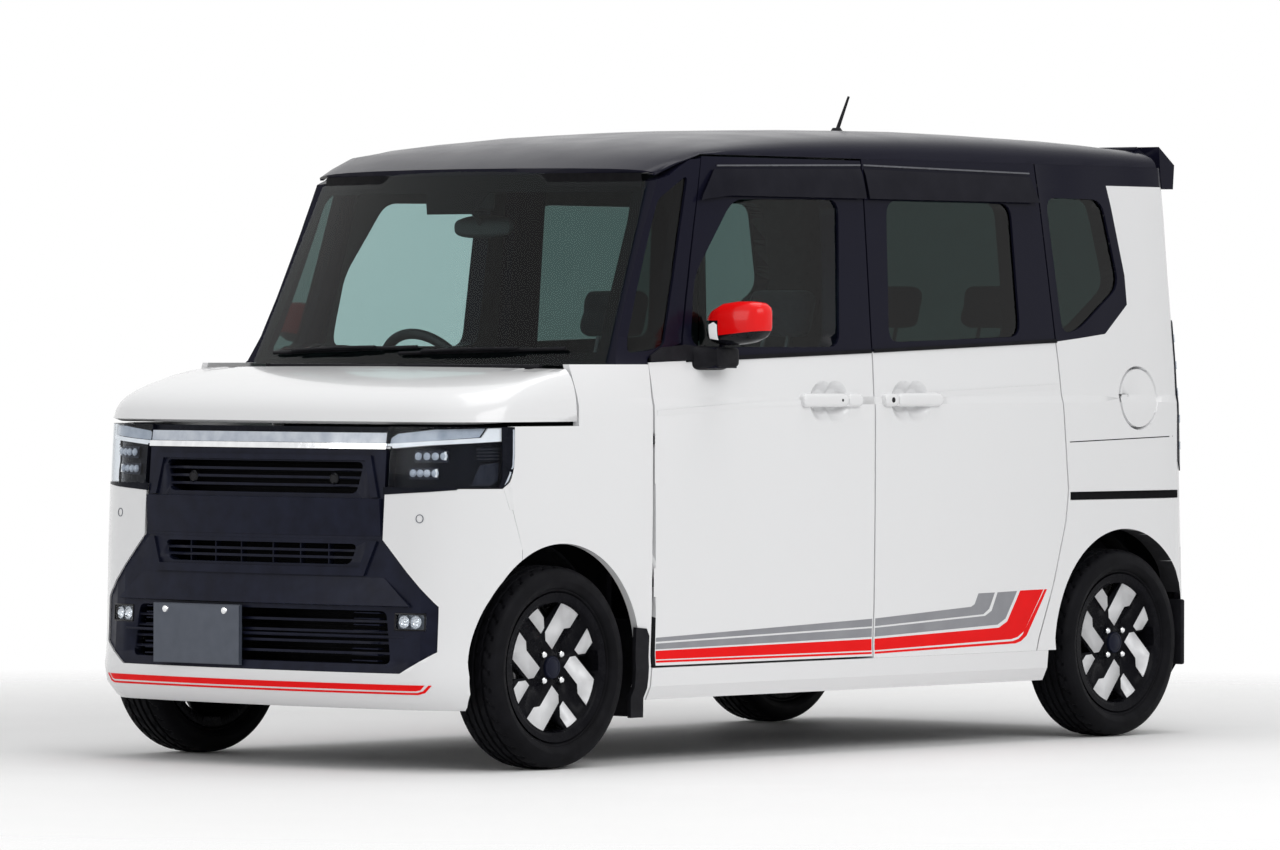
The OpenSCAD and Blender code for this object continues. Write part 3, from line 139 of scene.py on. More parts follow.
def flaked(name, dark, light, rough, coat=1.0, shine=0.5):   # paint with a fine flake and a faint orange peel
    mat, tree, shader, coords = startMaterial(name)
    shader.inputs["Specular IOR Level"].default_value = shine
    flake = nodeOf(tree, "ShaderNodeTexVoronoi", Scale=1400.0)
    tree.links.new(coords, flake.inputs["Vector"])
    tree.links.new(tint(tree, flake.outputs["Distance"], dark, light), shader.inputs["Base Color"])
    tree.links.new(spread(tree, noiseFrom(tree, coords, 7, 3.0), 0.3, 0.7, *rough), shader.inputs["Roughness"])
    bumpFrom(tree, noiseFrom(tree, coords, 260), shader, 0.00002)
    shader.inputs["Coat Weight"].default_value = coat
    shader.inputs["Coat Roughness"].default_value = 0.02
    return mat


def woven(name, dark, light, scale, depth):          # crossed threads for seat cloth and carpet
    mat, tree, shader, coords = startMaterial(name)
    threads = []
    for axis in ("X", "Y", "Z"):
        wave = nodeOf(tree, "ShaderNodeTexWave", wave_type="BANDS", bands_direction=axis, Scale=scale)
        tree.links.new(coords, wave.inputs["Vector"])
        threads.append(wave.outputs["Fac"])
    both = mathOf(tree, "MAXIMUM", mathOf(tree, "MULTIPLY", threads[0], threads[1]), threads[2])
    tree.links.new(tint(tree, both, dark, light), shader.inputs["Base Color"])
    tree.links.new(spread(tree, noiseFrom(tree, coords, 30), 0.3, 0.7, 0.8, 0.95), shader.inputs["Roughness"])
    bumpFrom(tree, both, shader, depth)
    shader.inputs["Sheen Weight"].default_value = 0.25
    return mat


def pane(name, darkTint, clearTint, index=1.5):      # see-through, with a mirror sheen on its outer face
    mat, tree, shader, coords = startMaterial(name)
    tree.nodes.remove(shader)
    clear = nodeOf(tree, "ShaderNodeBsdfTransparent")
    tree.links.new(tint(tree, noiseFrom(tree, coords, 1.5), darkTint, clearTint), clear.inputs["Color"])
    shine = nodeOf(tree, "ShaderNodeBsdfGlossy", Roughness=0.01)
    edge = nodeOf(tree, "ShaderNodeFresnel", IOR=index)
    side = nodeOf(tree, "ShaderNodeNewGeometry")
    share = mathOf(tree, "MULTIPLY", edge.outputs["Fac"], mathOf(tree, "SUBTRACT", 1.0, side.outputs["Backfacing"]))
    mixInto(tree, share, clear.outputs["BSDF"], shine.outputs["BSDF"], "Material Output")
    return mat


pearlWhite = flaked("pearlWhite", (0.80, 0.805, 0.815), (0.845, 0.848, 0.856), (0.22, 0.26), 0.5, 0.3)
nightBlack = flaked("nightBlack", (0.005, 0.005, 0.012), (0.009, 0.009, 0.020), (0.2, 0.26), 0.05, 0.05)
capRed = flaked("capRed", (0.80, 0.003, 0.004), (0.90, 0.006, 0.006), (0.2, 0.24), 0.25, 0.15)
stripeRed = finish("stripeRed", (0.84, 0.003, 0.004), (0.90, 0.004, 0.005), 12, (0.34, 0.4), shine=0.12)
stripeGrey = finish("stripeGrey", (0.27, 0.275, 0.295), (0.31, 0.315, 0.335), 12, (0.34, 0.4), shine=0.15)
satinBlack = finish("satinBlack", (0.006, 0.007, 0.016), (0.010, 0.012, 0.026),
                    20, (0.3, 0.38), 1400, 0.00005, shine=0.10)
glossBlack = finish("glossBlack", (0.004, 0.004, 0.006), (0.008, 0.008, 0.011),
                    25, (0.14, 0.2), coat=0.2, shine=0.1)
visorSmoke = finish("visorSmoke", (0.005, 0.005, 0.010), (0.009, 0.009, 0.015),
                    14, (0.12, 0.18), coat=0.05, shine=0.05)
# pale grey for the drip rails: a drip seam and a painted highlight along the black visors' top edge
dripGrey = finish("dripGrey", (0.085, 0.088, 0.10), (0.12, 0.123, 0.14), 18, (0.25, 0.32), shine=0.3)
grainBlack = finish("grainBlack", (0.007, 0.007, 0.009), (0.013, 0.013, 0.016),
                    30, (0.5, 0.62), 900, 0.0002, shine=0.1)
rubberBlack = finish("rubberBlack", (0.004, 0.004, 0.005), (0.008, 0.008, 0.010),
                     15, (0.5, 0.62), 500, 0.00015, shine=0.06)
machined = finish("machined", (0.72, 0.725, 0.74), (0.78, 0.785, 0.80),
                  40, (0.42, 0.5), 1500, 0.00001, metal=0.12)
wheelBlack = finish("wheelBlack", (0.004, 0.004, 0.006), (0.008, 0.008, 0.010), 30, (0.24, 0.3), shine=0.04)
brightTrim = finish("brightTrim", (0.74, 0.75, 0.77), (0.86, 0.87, 0.88), 30, (0.08, 0.14), metal=1.0)
castGrey = finish("castGrey", (0.10, 0.10, 0.105), (0.20, 0.20, 0.21),
                  18, (0.45, 0.65), 300, 0.0006, metal=0.7)
steelGrey = finish("steelGrey", (0.30, 0.30, 0.31), (0.40, 0.40, 0.41),
                   25, (0.3, 0.45), 400, 0.0002, metal=0.9)
lensRed = finish("lensRed", (0.20, 0.003, 0.005), (0.30, 0.005, 0.008), 25, (0.08, 0.14), coat=1.0)
lampDark = finish("lampDark", (0.004, 0.005, 0.009), (0.009, 0.010, 0.016), 30, (0.2, 0.3), shine=0.06)
lampWhite = finish("lampWhite", (0.80, 0.81, 0.83), (0.88, 0.89, 0.90), 30, (0.15, 0.22), coat=0.6)
glow = lampWhite.node_tree.nodes["Principled BSDF"].inputs["Emission Strength"]
glow.default_value = 0.25            # a day lamp, faintly lit
lampPale = finish("lampPale", (0.42, 0.47, 0.56), (0.62, 0.67, 0.74), 26, (0.12, 0.2), coat=0.6)
lampGreyBlue = finish("lampGreyBlue", (0.016, 0.019, 0.032), (0.030, 0.034, 0.050),
                      30, (0.25, 0.35), shine=0.15)
plateGrey = finish("plateGrey", (0.052, 0.062, 0.085), (0.068, 0.080, 0.108), 20, (0.4, 0.5), 900, 0.0001)
liningGrey = finish("liningGrey", (0.13, 0.13, 0.128), (0.17, 0.17, 0.165), 60, (0.8, 0.9), 1300, 0.0004)
trimBlack = finish("trimBlack", (0.016, 0.016, 0.018), (0.028, 0.028, 0.032), 25, (0.5, 0.62), 1100, 0.0003)
clothNavy = woven("clothNavy", (0.012, 0.014, 0.022), (0.040, 0.044, 0.062), 180, 0.0005)
fritBlack = finish("fritBlack", (0.003, 0.003, 0.004), (0.006, 0.006, 0.007), 60, (0.5, 0.6), shine=0.05)
carpetBlack = woven("carpetBlack", (0.010, 0.010, 0.011), (0.030, 0.030, 0.032), 260, 0.0012)
clearGlass = pane("clearGlass", (0.70, 0.785, 0.78), (0.74, 0.82, 0.815), 1.3)
darkGlass = pane("darkGlass", (0.28, 0.345, 0.335), (0.31, 0.375, 0.365), 1.3)
redGlass = pane("redGlass", (0.72, 0.10, 0.10), (0.80, 0.14, 0.13), 1.35)
lampGlass = pane("lampGlass", (0.90, 0.92, 0.94), (0.95, 0.96, 0.97), 1.2)
print("finishes made:", len(bpy.data.materials))


# Shared helpers

def linkPiece(name, bm, mats, body, angle=30):
    mesh = bpy.data.meshes.new(name)
    bm.to_mesh(mesh)
    bm.free()
    for mat in mats if isinstance(mats, (list, tuple)) else [mats]:
        mesh.materials.append(mat)
    mesh.polygons.foreach_set("use_smooth", [True] * len(mesh.polygons))
    mesh.set_sharp_from_angle(angle=math.radians(angle))
    piece = bpy.data.objects.new(name, mesh)
    scene.collection.objects.link(piece)
    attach(piece, body)
    return piece


def mergedCopy(node):
    bm = bmesh.new()
    bm.from_mesh(frame["nodes"][node].data)
    bmesh.ops.remove_doubles(bm, verts=bm.verts, dist=0.00002)
    return bm


def dressed(node, mats, bm=None, angle=28):
    piece = linkPiece(node + "_shell", bm or mergedCopy(node), mats, bodyOf[node], angle)
    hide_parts(node)
    return piece


def fetch(items, key, width=1, kind=float):  # one value of every item as an array
    values = numpy.zeros(len(items) * width, kind)
    items.foreach_get(key, values)
    return values.reshape(-1, width) if width > 1 else values


skinFit = {"degree": 4, "facing": 0.75, "side": 0.55, "turns": 4, "drop": 0.12, "keep": 0.10, "sliver": 0.04}


def evenSkin(piece):         # smooth normals over a side panel's outer skin, so that cut edges leave no facets
    mesh = piece.data
    faceCount = len(mesh.polygons)
    normal, centre = fetch(mesh.polygons, "normal", 3), fetch(mesh.polygons, "center", 3)
    area = fetch(mesh.polygons, "area")
    spot, owner = fetch(mesh.vertices, "co", 3), fetch(mesh.loops, "vertex_index", 1, int)
    corner = fetch(mesh.corner_normals, "vector", 3)
    starts, totals = fetch(mesh.polygons, "loop_start", 1, int), fetch(mesh.polygons, "loop_total", 1, int)
    faceOf = numpy.repeat(numpy.arange(faceCount), totals)
    order = skinFit["degree"] + 1
    powers = [(i, j) for i in range(order) for j in range(order - i)]
    terms = lambda at: numpy.stack([at[:, 0] ** i * at[:, 2] ** j for i, j in powers], axis=1)
    for sign in (1, -1):
        outer = (normal[:, 1] * sign > skinFit["facing"]) & (centre[:, 1] * sign > skinFit["side"])
        if not outer.any():
            continue
        basis = terms(centre[outer])
        slope = normal[outer][:, (0, 2)] / normal[outer][:, 1:2]
        weight = numpy.sqrt(area[outer])[:, None]
        for turn in range(skinFit["turns"]):
            fit = numpy.linalg.lstsq(basis * weight, slope * weight, rcond=None)[0]
            miss = numpy.abs(basis @ fit - slope).max(axis=1)
            weight = weight * (miss < skinFit["drop"])[:, None]
        even = numpy.zeros(faceCount, bool)
        even[outer] = miss < skinFit["keep"]
        for index in numpy.flatnonzero(outer & ~even):       # thin slivers go with the skin round them
            ring = spot[owner[starts[index]:starts[index] + totals[index]]]
            longest = max(numpy.linalg.norm(a - b) for a in ring for b in ring)
            even[index] = area[index] < skinFit["sliver"] * longest ** 2
        chosen = even[faceOf]
        lean = terms(spot[owner[chosen]]) @ fit
        flat = numpy.stack([lean[:, 0] * sign, numpy.full(len(lean), float(sign)), lean[:, 1] * sign], axis=1)
        corner[chosen] = flat / numpy.linalg.norm(flat, axis=1)[:, None]
    mesh.normals_split_custom_set(corner.tolist())


def cutBy(bm, place, normal, near=1e-6, **options):
    geom = bm.verts[:] + bm.edges[:] + bm.faces[:]
    bmesh.ops.bisect_plane(bm, geom=geom, dist=near, plane_co=place, plane_no=normal, **options)


def cutAlong(bm, points):            # knife cuts through the shape along a side-view outline, right across in Y
    for a, b in zip(points, points[1:]):
        cutBy(bm, (a[0], 0, a[1]), Vector((b[1] - a[1], 0, a[0] - b[0])))


def dice(bm, direction, step, near=1e-6):    # even cuts across a sheet, so that it can follow a curved skin
    values = [vert.co[direction] for vert in bm.verts]
    low, span = min(values), max(values) - min(values)
    count = int(span / step)
    for i in range(1, count + 1):
        at, no = [0, 0, 0], [0, 0, 0]
        at[direction] = low + span * i / (count + 1)
        no[direction] = 1
        cutBy(bm, at, no, near)


def faceTo(bm, direction):           # the faces of a sheet all look the given way
    bmesh.ops.recalc_face_normals(bm, faces=bm.faces)
    if sum((f.normal for f in bm.faces), Vector()).dot(direction) < 0:
        bmesh.ops.reverse_faces(bm, faces=bm.faces)


def rect(u0, u1, v0, v1):
    return [(u0, v0), (u1, v0), (u1, v1), (u0, v1)]


def mirrored(outline, sign):         # a nose or rear outline for one side of the car
    return [(u * sign, v) for u, v in outline]


def inOutline(point, outline):
    inside = False
    for a, b in zip(outline, outline[1:] + outline[:1]):
        if (a[1] > point[1]) != (b[1] > point[1]):
            if point[0] < a[0] + (point[1] - a[1]) * (b[0] - a[0]) / (b[1] - a[1]):
                inside = not inside
    return inside


skins = {}
farAway = 3.0                        # rays start this far from the car's middle


def skinHit(node, start, direction):
    if node not in skins:
        skins[node] = BVHTree.FromBMesh(mergedCopy(node))
    place, normal, index, distance = skins[node].ray_cast(Vector(start), Vector(direction))
    return place, normal


def frontHit(node, y, z):
    return skinHit(node, (farAway, y, z), (-1, 0, 0))


def sideHit(node, x, z, sign):
    return skinHit(node, (x, farAway * sign, z), (0, -sign, 0))


def layOn(bm, nodes, axis, side, lift):      # drops a flat sheet on the skin along one axis and lifts it
    direction = [0, 0, 0]
    direction[axis] = -side
    met, missed = [], []
    for vert in bm.verts:
        start = list(vert.co)
        start[axis] = side * farAway
        hits = [hit for hit in (skinHit(node, start, direction) for node in nodes) if hit[0] is not None]
        if hits:
            place, normal = max(hits, key=lambda hit: side * hit[0][axis])
            vert.co = place + normal * (lift(vert.co) if callable(lift) else lift)
            met.append(vert.co.copy())
        else:
            missed.append(vert)
    for vert in missed:                      # over an opening the sheet keeps the depth of the skin beside it
        beside = min(met, key=lambda at: sum((at[i] - vert.co[i]) ** 2 for i in range(3) if i != axis))
        vert.co[axis] = beside[axis]


def sheetFrom(outline, axis, step):          # a flat diced face from an outline
    bm = bmesh.new()
    lay = (lambda u, v: (u, 0, v)) if axis == 1 else (lambda u, v: (0, u, v))
    bm.faces.new([bm.verts.new(lay(u, v)) for u, v in outline])
    for direction in (1 - axis, 2):
        dice(bm, direction, step)
    return bm


def thicken(bm, thickness):
    bmesh.ops.recalc_face_normals(bm, faces=bm.faces)
    bmesh.ops.solidify(bm, geom=bm.faces[:], thickness=thickness)


def decal(name, outline, nodes, mat, axis, side, lift=0.0004, step=0.03, thickness=0.0003, body=None):
    bm = sheetFrom(outline, axis, step)
    layOn(bm, nodes, axis, side, lift)
    outward = Vector()
    outward[axis] = side
    faceTo(bm, outward)
    bmesh.ops.solidify(bm, geom=bm.faces[:], thickness=thickness)
    return linkPiece(name, bm, mat, body or bodyOf[nodes[0]], 40)


def noseDecal(name, outline, nodes, mat, lift, thickness, step=0.03):
    return decal(name, outline, nodes, mat, 0, 1, lift, step, thickness)


def rearDecal(name, outline, node, mat, lift, thickness, step=0.04):
    return decal(name, outline, [node], mat, 0, -1, lift, step, thickness)


def boxInto(bm, low, high, bevel=0.0, segments=2):   # a bevelled block between two corners
    made = bmesh.ops.create_cube(bm, size=1.0)["verts"]
    size = [high[i] - low[i] for i in range(3)]
    bmesh.ops.scale(bm, vec=size, verts=made)
    bmesh.ops.translate(bm, vec=[(high[i] + low[i]) / 2 for i in range(3)], verts=made)
    if bevel:
        edges = list({e for v in made for e in v.link_edges})
        bmesh.ops.bevel(bm, geom=edges, offset=bevel, offset_type="OFFSET", affect="EDGES", segments=segments,
                        profile=0.5, material=-1, clamp_overlap=True)
    return made


def lathe(bm, profile, centre, axis, steps=64):      # spins a half outline (radius, height) about an axis
    axis = Vector(axis).normalized()
    turn = Vector((0, 0, 1)).rotation_difference(axis).to_matrix()
    verts = [bm.verts.new(turn @ Vector((r, 0, h)) + Vector(centre)) for r, h in profile]
    edges = [bm.edges.new(pair) for pair in zip(verts, verts[1:])]
    bmesh.ops.spin(bm, geom=verts + edges, cent=centre, axis=axis, dvec=(0, 0, 0), angle=math.tau, steps=steps,
                   use_merge=True)
    bmesh.ops.remove_doubles(bm, verts=bm.verts, dist=1e-6)
    bmesh.ops.recalc_face_normals(bm, faces=bm.faces)


def tubeInto(bm, points, radius, sides=10):          # a round bar swept along a few points
    ring = None
    for i, point in enumerate(points):
        ahead = Vector(points[min(i + 1, len(points) - 1)]) - Vector(points[max(i - 1, 0)])
        turn = Vector((0, 0, 1)).rotation_difference(ahead.normalized()).to_matrix().to_4x4()
        made = bmesh.ops.create_circle(bm, cap_ends=i in (0, len(points) - 1), segments=sides, radius=radius,
                                       matrix=Matrix.Translation(point) @ turn)["verts"]
        edges = [e for e in {e for v in made for e in v.link_edges} if all(v in made for v in e.verts)]
        if ring:
            bmesh.ops.bridge_loops(bm, edges=ring + edges)
        ring = edges
    bmesh.ops.recalc_face_normals(bm, faces=bm.faces)


def bothBoxes(bm, low, high, bevel=0.0, segments=2):     # the same block on both sides of the car
    for sign in (1, -1):
        y0, y1 = sorted((low[1] * sign, high[1] * sign))
        boxInto(bm, (low[0], y0, low[2]), (high[0], y1, high[2]), bevel, segments)


sides = (("left", 1), ("right", -1))


# Body shells: white panels below the belt, black above it

axles = {"front": 1.2275, "rear": -1.2925, "height": 0.278, "side": 0.645}
bodyLines = {
    "belt": [(0.86, 1.1085), (-0.115, 1.139), (-0.98, 1.169), (-1.09, 1.181)],
    "doorTop": 1.72,
    "quarterGlass": [(-0.86, 1.166), (-0.98, 1.170), (-1.09, 1.180), (-1.216, 1.193), (-1.331, 1.280), (-1.327, 1.366),
                     (-1.276, 1.581), (-1.262, 1.632), (-1.25, 1.72), (-0.86, 1.72)],
    "roofSide": 1.632,
    "footX": (0.5, 0.7), "footZ": 1.08, "footY": 0.7375,             # the mirror foot's black patch on the door
    "bootY": 0.66, "bootX": -1.6,                                    # what lies inside these is boot trim
    "archReach": 0.42, "archFacing": 0.4, "archY": 0.71,
}
beltArea = bodyLines["belt"] + [(-1.09, bodyLines["doorTop"]), (0.86, bodyLines["doorTop"])]


def archLinerAndShadeFace(face):                     # faces that look into a wheel arch from behind its lip; they are made black, for the missing arch liner and as painted shade
    centre = face.calc_center_median()
    for end in ("front", "rear"):
        away = Vector((axles[end] - centre.x, 0, axles["height"] - centre.z))
        facing = face.normal.dot(away) > bodyLines["archFacing"] * away.length
        if away.length < bodyLines["archReach"] and facing and abs(centre.y) < bodyLines["archY"]:
            return True
    return False


def twoTone(node, cuts, area, above=None):
    bm = mergedCopy(node)
    cutAlong(bm, cuts)
    if above:
        cutBy(bm, (0, 0, above), (0, 0, 1))
    x0, x1 = bodyLines["footX"]
    for face in bm.faces:
        centre = face.calc_center_median()
        side = abs(centre.y)
        foot = x0 < centre.x < x1 and centre.z > bodyLines["footZ"] and side > bodyLines["footY"]
        upper = inOutline((centre.x, centre.z), area) or (above and centre.z > above)
        boot = node == "quarter_panels" and side < bodyLines["bootY"] and centre.x > bodyLines["bootX"]
        inner = face.normal.y * centre.y < -0.5 * side or boot
        # arch faces in trim black: the missing liner, and painted shade inside the arch
        face.material_index = 2 if inner or archLinerAndShadeFace(face) else 1 if upper or foot else 0
    evenSkin(dressed(node, [pearlWhite, nightBlack, trimBlack], bm))


for side, sign in sides:
    twoTone("front_door_" + side, bodyLines["belt"], beltArea)
twoTone("sliding_doors", bodyLines["belt"], beltArea)
quarter = bodyLines["quarterGlass"]
twoTone("quarter_panels", quarter[1:-1], quarter, bodyLines["roofSide"])

shellFinish = {
    "pearlWhite": "bonnet tailgate fuel_lid sills",
    "nightBlack": "pillars spoiler",
    "satinBlack": "upper_grille lower_grille",
    "grainBlack": "bulkhead wheel_liners wipers antenna",
    "carpetBlack": "floor_pan",
    "trimBlack": "dashboard steering_wheel",
    "plateGrey": "number_plate",
    "castGrey": "engine knuckle_left knuckle_right front_subframe rear_axle",
    "steelGrey": "exhaust fuel_tank",
    "clearGlass": "windscreen door_glass_left door_glass_right",
    "darkGlass": "side_glass tailgate_glass",
}
for matName, names in shellFinish.items():
    for node in names.split():
        dressed(node, bpy.data.materials[matName])
for node in ("fenders", "front_bumper", "rear_bumper"):
    bm = mergedCopy(node)
    for face in bm.faces:
        # arch faces in grain black: the missing liner, and painted shade inside the arch
        face.material_index = 1 if archLinerAndShadeFace(face) else 0
    piece = dressed(node, [pearlWhite, grainBlack], bm)
    if node == "fenders":
        evenSkin(piece)
bm = mergedCopy("roof")
for face in bm.faces:
    face.material_index = 1 if face.normal.z < -0.5 else 0
dressed("roof", [nightBlack, liningGrey], bm)
print("body shells dressed")


# Wheels: black alloy with machined blade faces

wheelValues = {"island": 0.048, "reach": 0.182, "slack": 0.0008}
wheelPlaces = {"%s_%s" % (end, side): (axles[end], sign) for end in ("front", "rear") for side, sign in sides}
for place, (axleX, sign) in wheelPlaces.items():
    node = "wheel_" + place
    bm = mergedCopy(node)
    for face in bm.faces:
        centre = face.calc_center_median()
        out = centre.y * sign - axles["side"]
        near = math.hypot(centre.x - axleX, centre.z - axles["height"]) < wheelValues["reach"]
        top = face.normal.y * sign > 0.98 and out > wheelValues["island"] - wheelValues["slack"]
        face.material_index = 1 if top and near else 0
    dressed(node, [wheelBlack, machined], bm, 35)
print("wheels dressed")


# Sheets that wrap round a corner: outlines in degrees about an upright line, and heights

def outFrom(centre, sign, angle, z):         # where a ray towards the upright line starts, and the way outwards
    out = Vector((math.cos(angle), math.sin(angle) * sign, 0))
    return Vector((centre[0], centre[1] * sign, z)) + out * farAway, out


def wrapSheet(outline, nodes, centre, sign, lift, step):
    bm = bmesh.new()
    bm.faces.new([bm.verts.new((math.radians(u), 0, v)) for u, v in outline])
    dice(bm, 0, math.radians(step[0]), 1e-7)
    dice(bm, 2, step[1], 1e-7)
    normals = {}
    for vert in bm.verts:
        start, out = outFrom(centre, sign, vert.co.x, vert.co.z)
        hits = [hit for hit in (skinHit(node, start, -out) for node in nodes) if hit[0] is not None]
        if hits:
            place, normal = min(hits, key=lambda hit: (hit[0] - start).length)
            vert.co = place + normal * lift
            normals[vert] = normal
    bmesh.ops.delete(bm, geom=[vert for vert in bm.verts if vert not in normals], context="VERTS")
    faceTo(bm, sum(normals.values(), Vector()))
    return bm, normals


def wrapped(name, outline, nodes, centre, sign, lift, mat, thickness=0.002, step=(2.5, 0.03)):
    bm, normals = wrapSheet(outline, nodes, centre, sign, lift, step)
    bmesh.ops.solidify(bm, geom=bm.faces[:], thickness=thickness)
    return linkPiece(name, bm, mat, bodyOf[nodes[0]], 35)


def wrappedBowl(name, outline, nodes, centre, sign, depth, mat, step=(2.5, 0.03)):
    rimGap, wall = 0.001, 0.0015
    bm, normals = wrapSheet(outline, nodes, centre, sign, -depth, step)
    rim = [e for e in bm.edges if e.is_boundary]
    pairs = {}
    for vert in bmesh.ops.extrude_edge_only(bm, edges=rim)["geom"]:
        if isinstance(vert, bmesh.types.BMVert):
            near = min(normals, key=lambda other: (other.co - vert.co).length)
            pairs[vert] = normals[near]
    for vert, normal in pairs.items():
        vert.co += normal * (depth - rimGap)
    thicken(bm, wall)
    return linkPiece(name, bm, mat, bodyOf[nodes[0]], 30)


def ringInto(bm, centre, halfA, halfB, axis, power=2.6, sidesCount=28):   # a rounded-square ring across an axis
    turn = Vector((0, 0, 1)).rotation_difference(Vector(axis)).to_matrix().to_4x4()
    made = bmesh.ops.create_circle(bm, cap_ends=False, segments=sidesCount, radius=1.0)["verts"]
    for vert in made:
        c, s = vert.co.x, vert.co.y
        vert.co.x = math.copysign(abs(c) ** (2 / power), c) * halfA
        vert.co.y = math.copysign(abs(s) ** (2 / power), s) * halfB
    bmesh.ops.transform(bm, matrix=Matrix.Translation(centre) @ turn, verts=made)
    return made


def loftInto(bm, rings, axis, power=2.6, sidesCount=28):   # bridges rings of (centre, halfA, halfB) and closes the ends
    loops = []
    for centre, halfA, halfB in rings:
        verts = ringInto(bm, centre, halfA, halfB, axis, power, sidesCount)
        loops.append(list({e for v in verts for e in v.link_edges}))
    for first, second in zip(loops, loops[1:]):
        bmesh.ops.bridge_loops(bm, edges=first + second)
    for loop in (loops[0], loops[-1]):
        bmesh.ops.edgeloop_fill(bm, edges=loop)
    bmesh.ops.recalc_face_normals(bm, faces=bm.faces)


# Stripes low on the doors

stripes = {
    "greyUpper": [(0.838, 0.349), (-0.118, 0.379), (-0.559, 0.402), (-0.575, 0.409), (-0.592, 0.440), (-0.669, 0.441),
                  (-0.644, 0.394), (-0.618, 0.379), (-0.118, 0.357), (0.838, 0.338)],
    "greyLower": [(0.838, 0.333), (-0.118, 0.352), (-0.626, 0.374), (-0.656, 0.388), (-0.682, 0.441), (-0.774, 0.443),
                  (-0.723, 0.364), (-0.686, 0.347), (-0.118, 0.327), (0.838, 0.317)],
    "red": [(0.838, 0.313), (-0.118, 0.321), (-0.693, 0.338), (-0.731, 0.355), (-0.789, 0.444), (-0.900, 0.445),
            (-0.814, 0.325), (-0.785, 0.309), (-0.754, 0.303), (-0.118, 0.288), (0.838, 0.289)],
    "redThin": [(0.838, 0.286), (-0.118, 0.284), (-0.761, 0.297), (-0.788, 0.303), (-0.806, 0.314), (-0.905, 0.445),
                (-0.917, 0.445), (-0.826, 0.311), (-0.800, 0.296), (-0.772, 0.290), (-0.118, 0.278), (0.838, 0.280)],
    "frontDoor": (-0.1095, 0.834), "slidingDoor": (-1.2, -0.1165), "gap": 0.0035,
}


def clipped(outline, low, high):             # the part of an outline between two X lines
    bm = bmesh.new()
    bm.faces.new([bm.verts.new((x, 0, z)) for x, z in outline])
    for at, no in ((low, (-1, 0, 0)), (high, (1, 0, 0))):
        cutBy(bm, (at, 0, 0), no, 1e-7, clear_outer=True)
    points = [(loop.vert.co.x, loop.vert.co.z) for face in bm.faces for loop in face.loops]
    bm.free()
    return points


(x0, x1), (x2, x3), gap = stripes["slidingDoor"], stripes["frontDoor"], stripes["gap"]
for side, sign in sides:
    for stripe in ("greyUpper", "greyLower", "red", "redThin"):
        mat = stripeGrey if stripe.startswith("grey") else stripeRed
        front = clipped(stripes[stripe], x2 + gap, x3)
        rear = clipped(stripes[stripe], x0, x1 - gap)
        decal("%s_stripe_front_%s" % (stripe, side), front, ["front_door_" + side], mat, 1, sign, step=0.05)
        decal("%s_stripe_rear_%s" % (stripe, side), rear, ["sliding_doors"], mat, 1, sign, step=0.03)
print("stripes laid")


# Pinstripe along the front bumper: two lines that end in tips

pinstripe = {"centre": (0.9, 0), "end": 38.9, "thick": (0.222, 0.238), "thin": (0.2125, 0.2170), "lift": 0.0012,
             "thickness": 0.001, "step": (0.6, 0.02)}


def bumperLine(name, outline, sign=1):
    wrapped(name, outline, ["front_bumper"], pinstripe["centre"], sign, pinstripe["lift"], stripeRed,
            pinstripe["thickness"], pinstripe["step"])


a, (b0, b1), (c0, c1) = pinstripe["end"], pinstripe["thick"], pinstripe["thin"]
thickEnd = [(a - 1.4, b0), (a - 0.6, b0 + 0.003), (a + 0.1, b1)]
thinTip = [(a - 1.0, c0), (a + 0.2, c0 + 0.005), (a + 1.3, b1), (a + 0.75, b1), (a - 0.2, c1 + 0.005), (a - 1.2, c1)]
bumperLine("pinstripe_thick", thickEnd + [(-u, v) for u, v in reversed(thickEnd)])
bumperLine("pinstripe_thin", [(a - 1.0, c0), (a - 1.2, c1), (1.2 - a, c1), (1.0 - a, c0)])
for side, sign in sides:
    bumperLine("pinstripe_tip_" + side, thinTip, sign)
print("pinstripe laid")


# Window visors, drip rails with a painted highlight, belt seals, creases, and the seam and rail slot of the rear
# quarter

visors = {"top": 1.66, "bottom": 1.572, "root": 0.003, "stand": 0.016, "curve": 0.6}
creases = {"front": [(0.838, 0.977), (0.385, 0.999), (0.215, 1.0030)], "middle": [(-0.345, 1.0225), (-0.975, 1.046)],
           "depth": 0.016, "foot": 0.0003, "rise": 0.0016}


def visorLift(point):
    share = (visors["top"] - point.z) / (visors["top"] - visors["bottom"])
    return visors["root"] + visors["stand"] * max(0.0, min(1.0, share)) ** visors["curve"]


def creaseLift(part):                        # a soft ridge: nothing at its lower edge and a fine step at its upper one
    line = creases[part]

    def lift(point):
        for a, b in zip(line, line[1:]):
            if b[0] - 1e-6 <= point.x <= a[0] + 1e-6:
                top = a[1] + (b[1] - a[1]) * (point.x - a[0]) / (b[0] - a[0])
                return creases["foot"] + creases["rise"] * max(0.0, 1 - (top - point.z) / creases["depth"])
        return creases["foot"]
    return lift


def creaseBand(part):
    return creases[part] + [(x, z - creases["depth"]) for x, z in reversed(creases[part])]


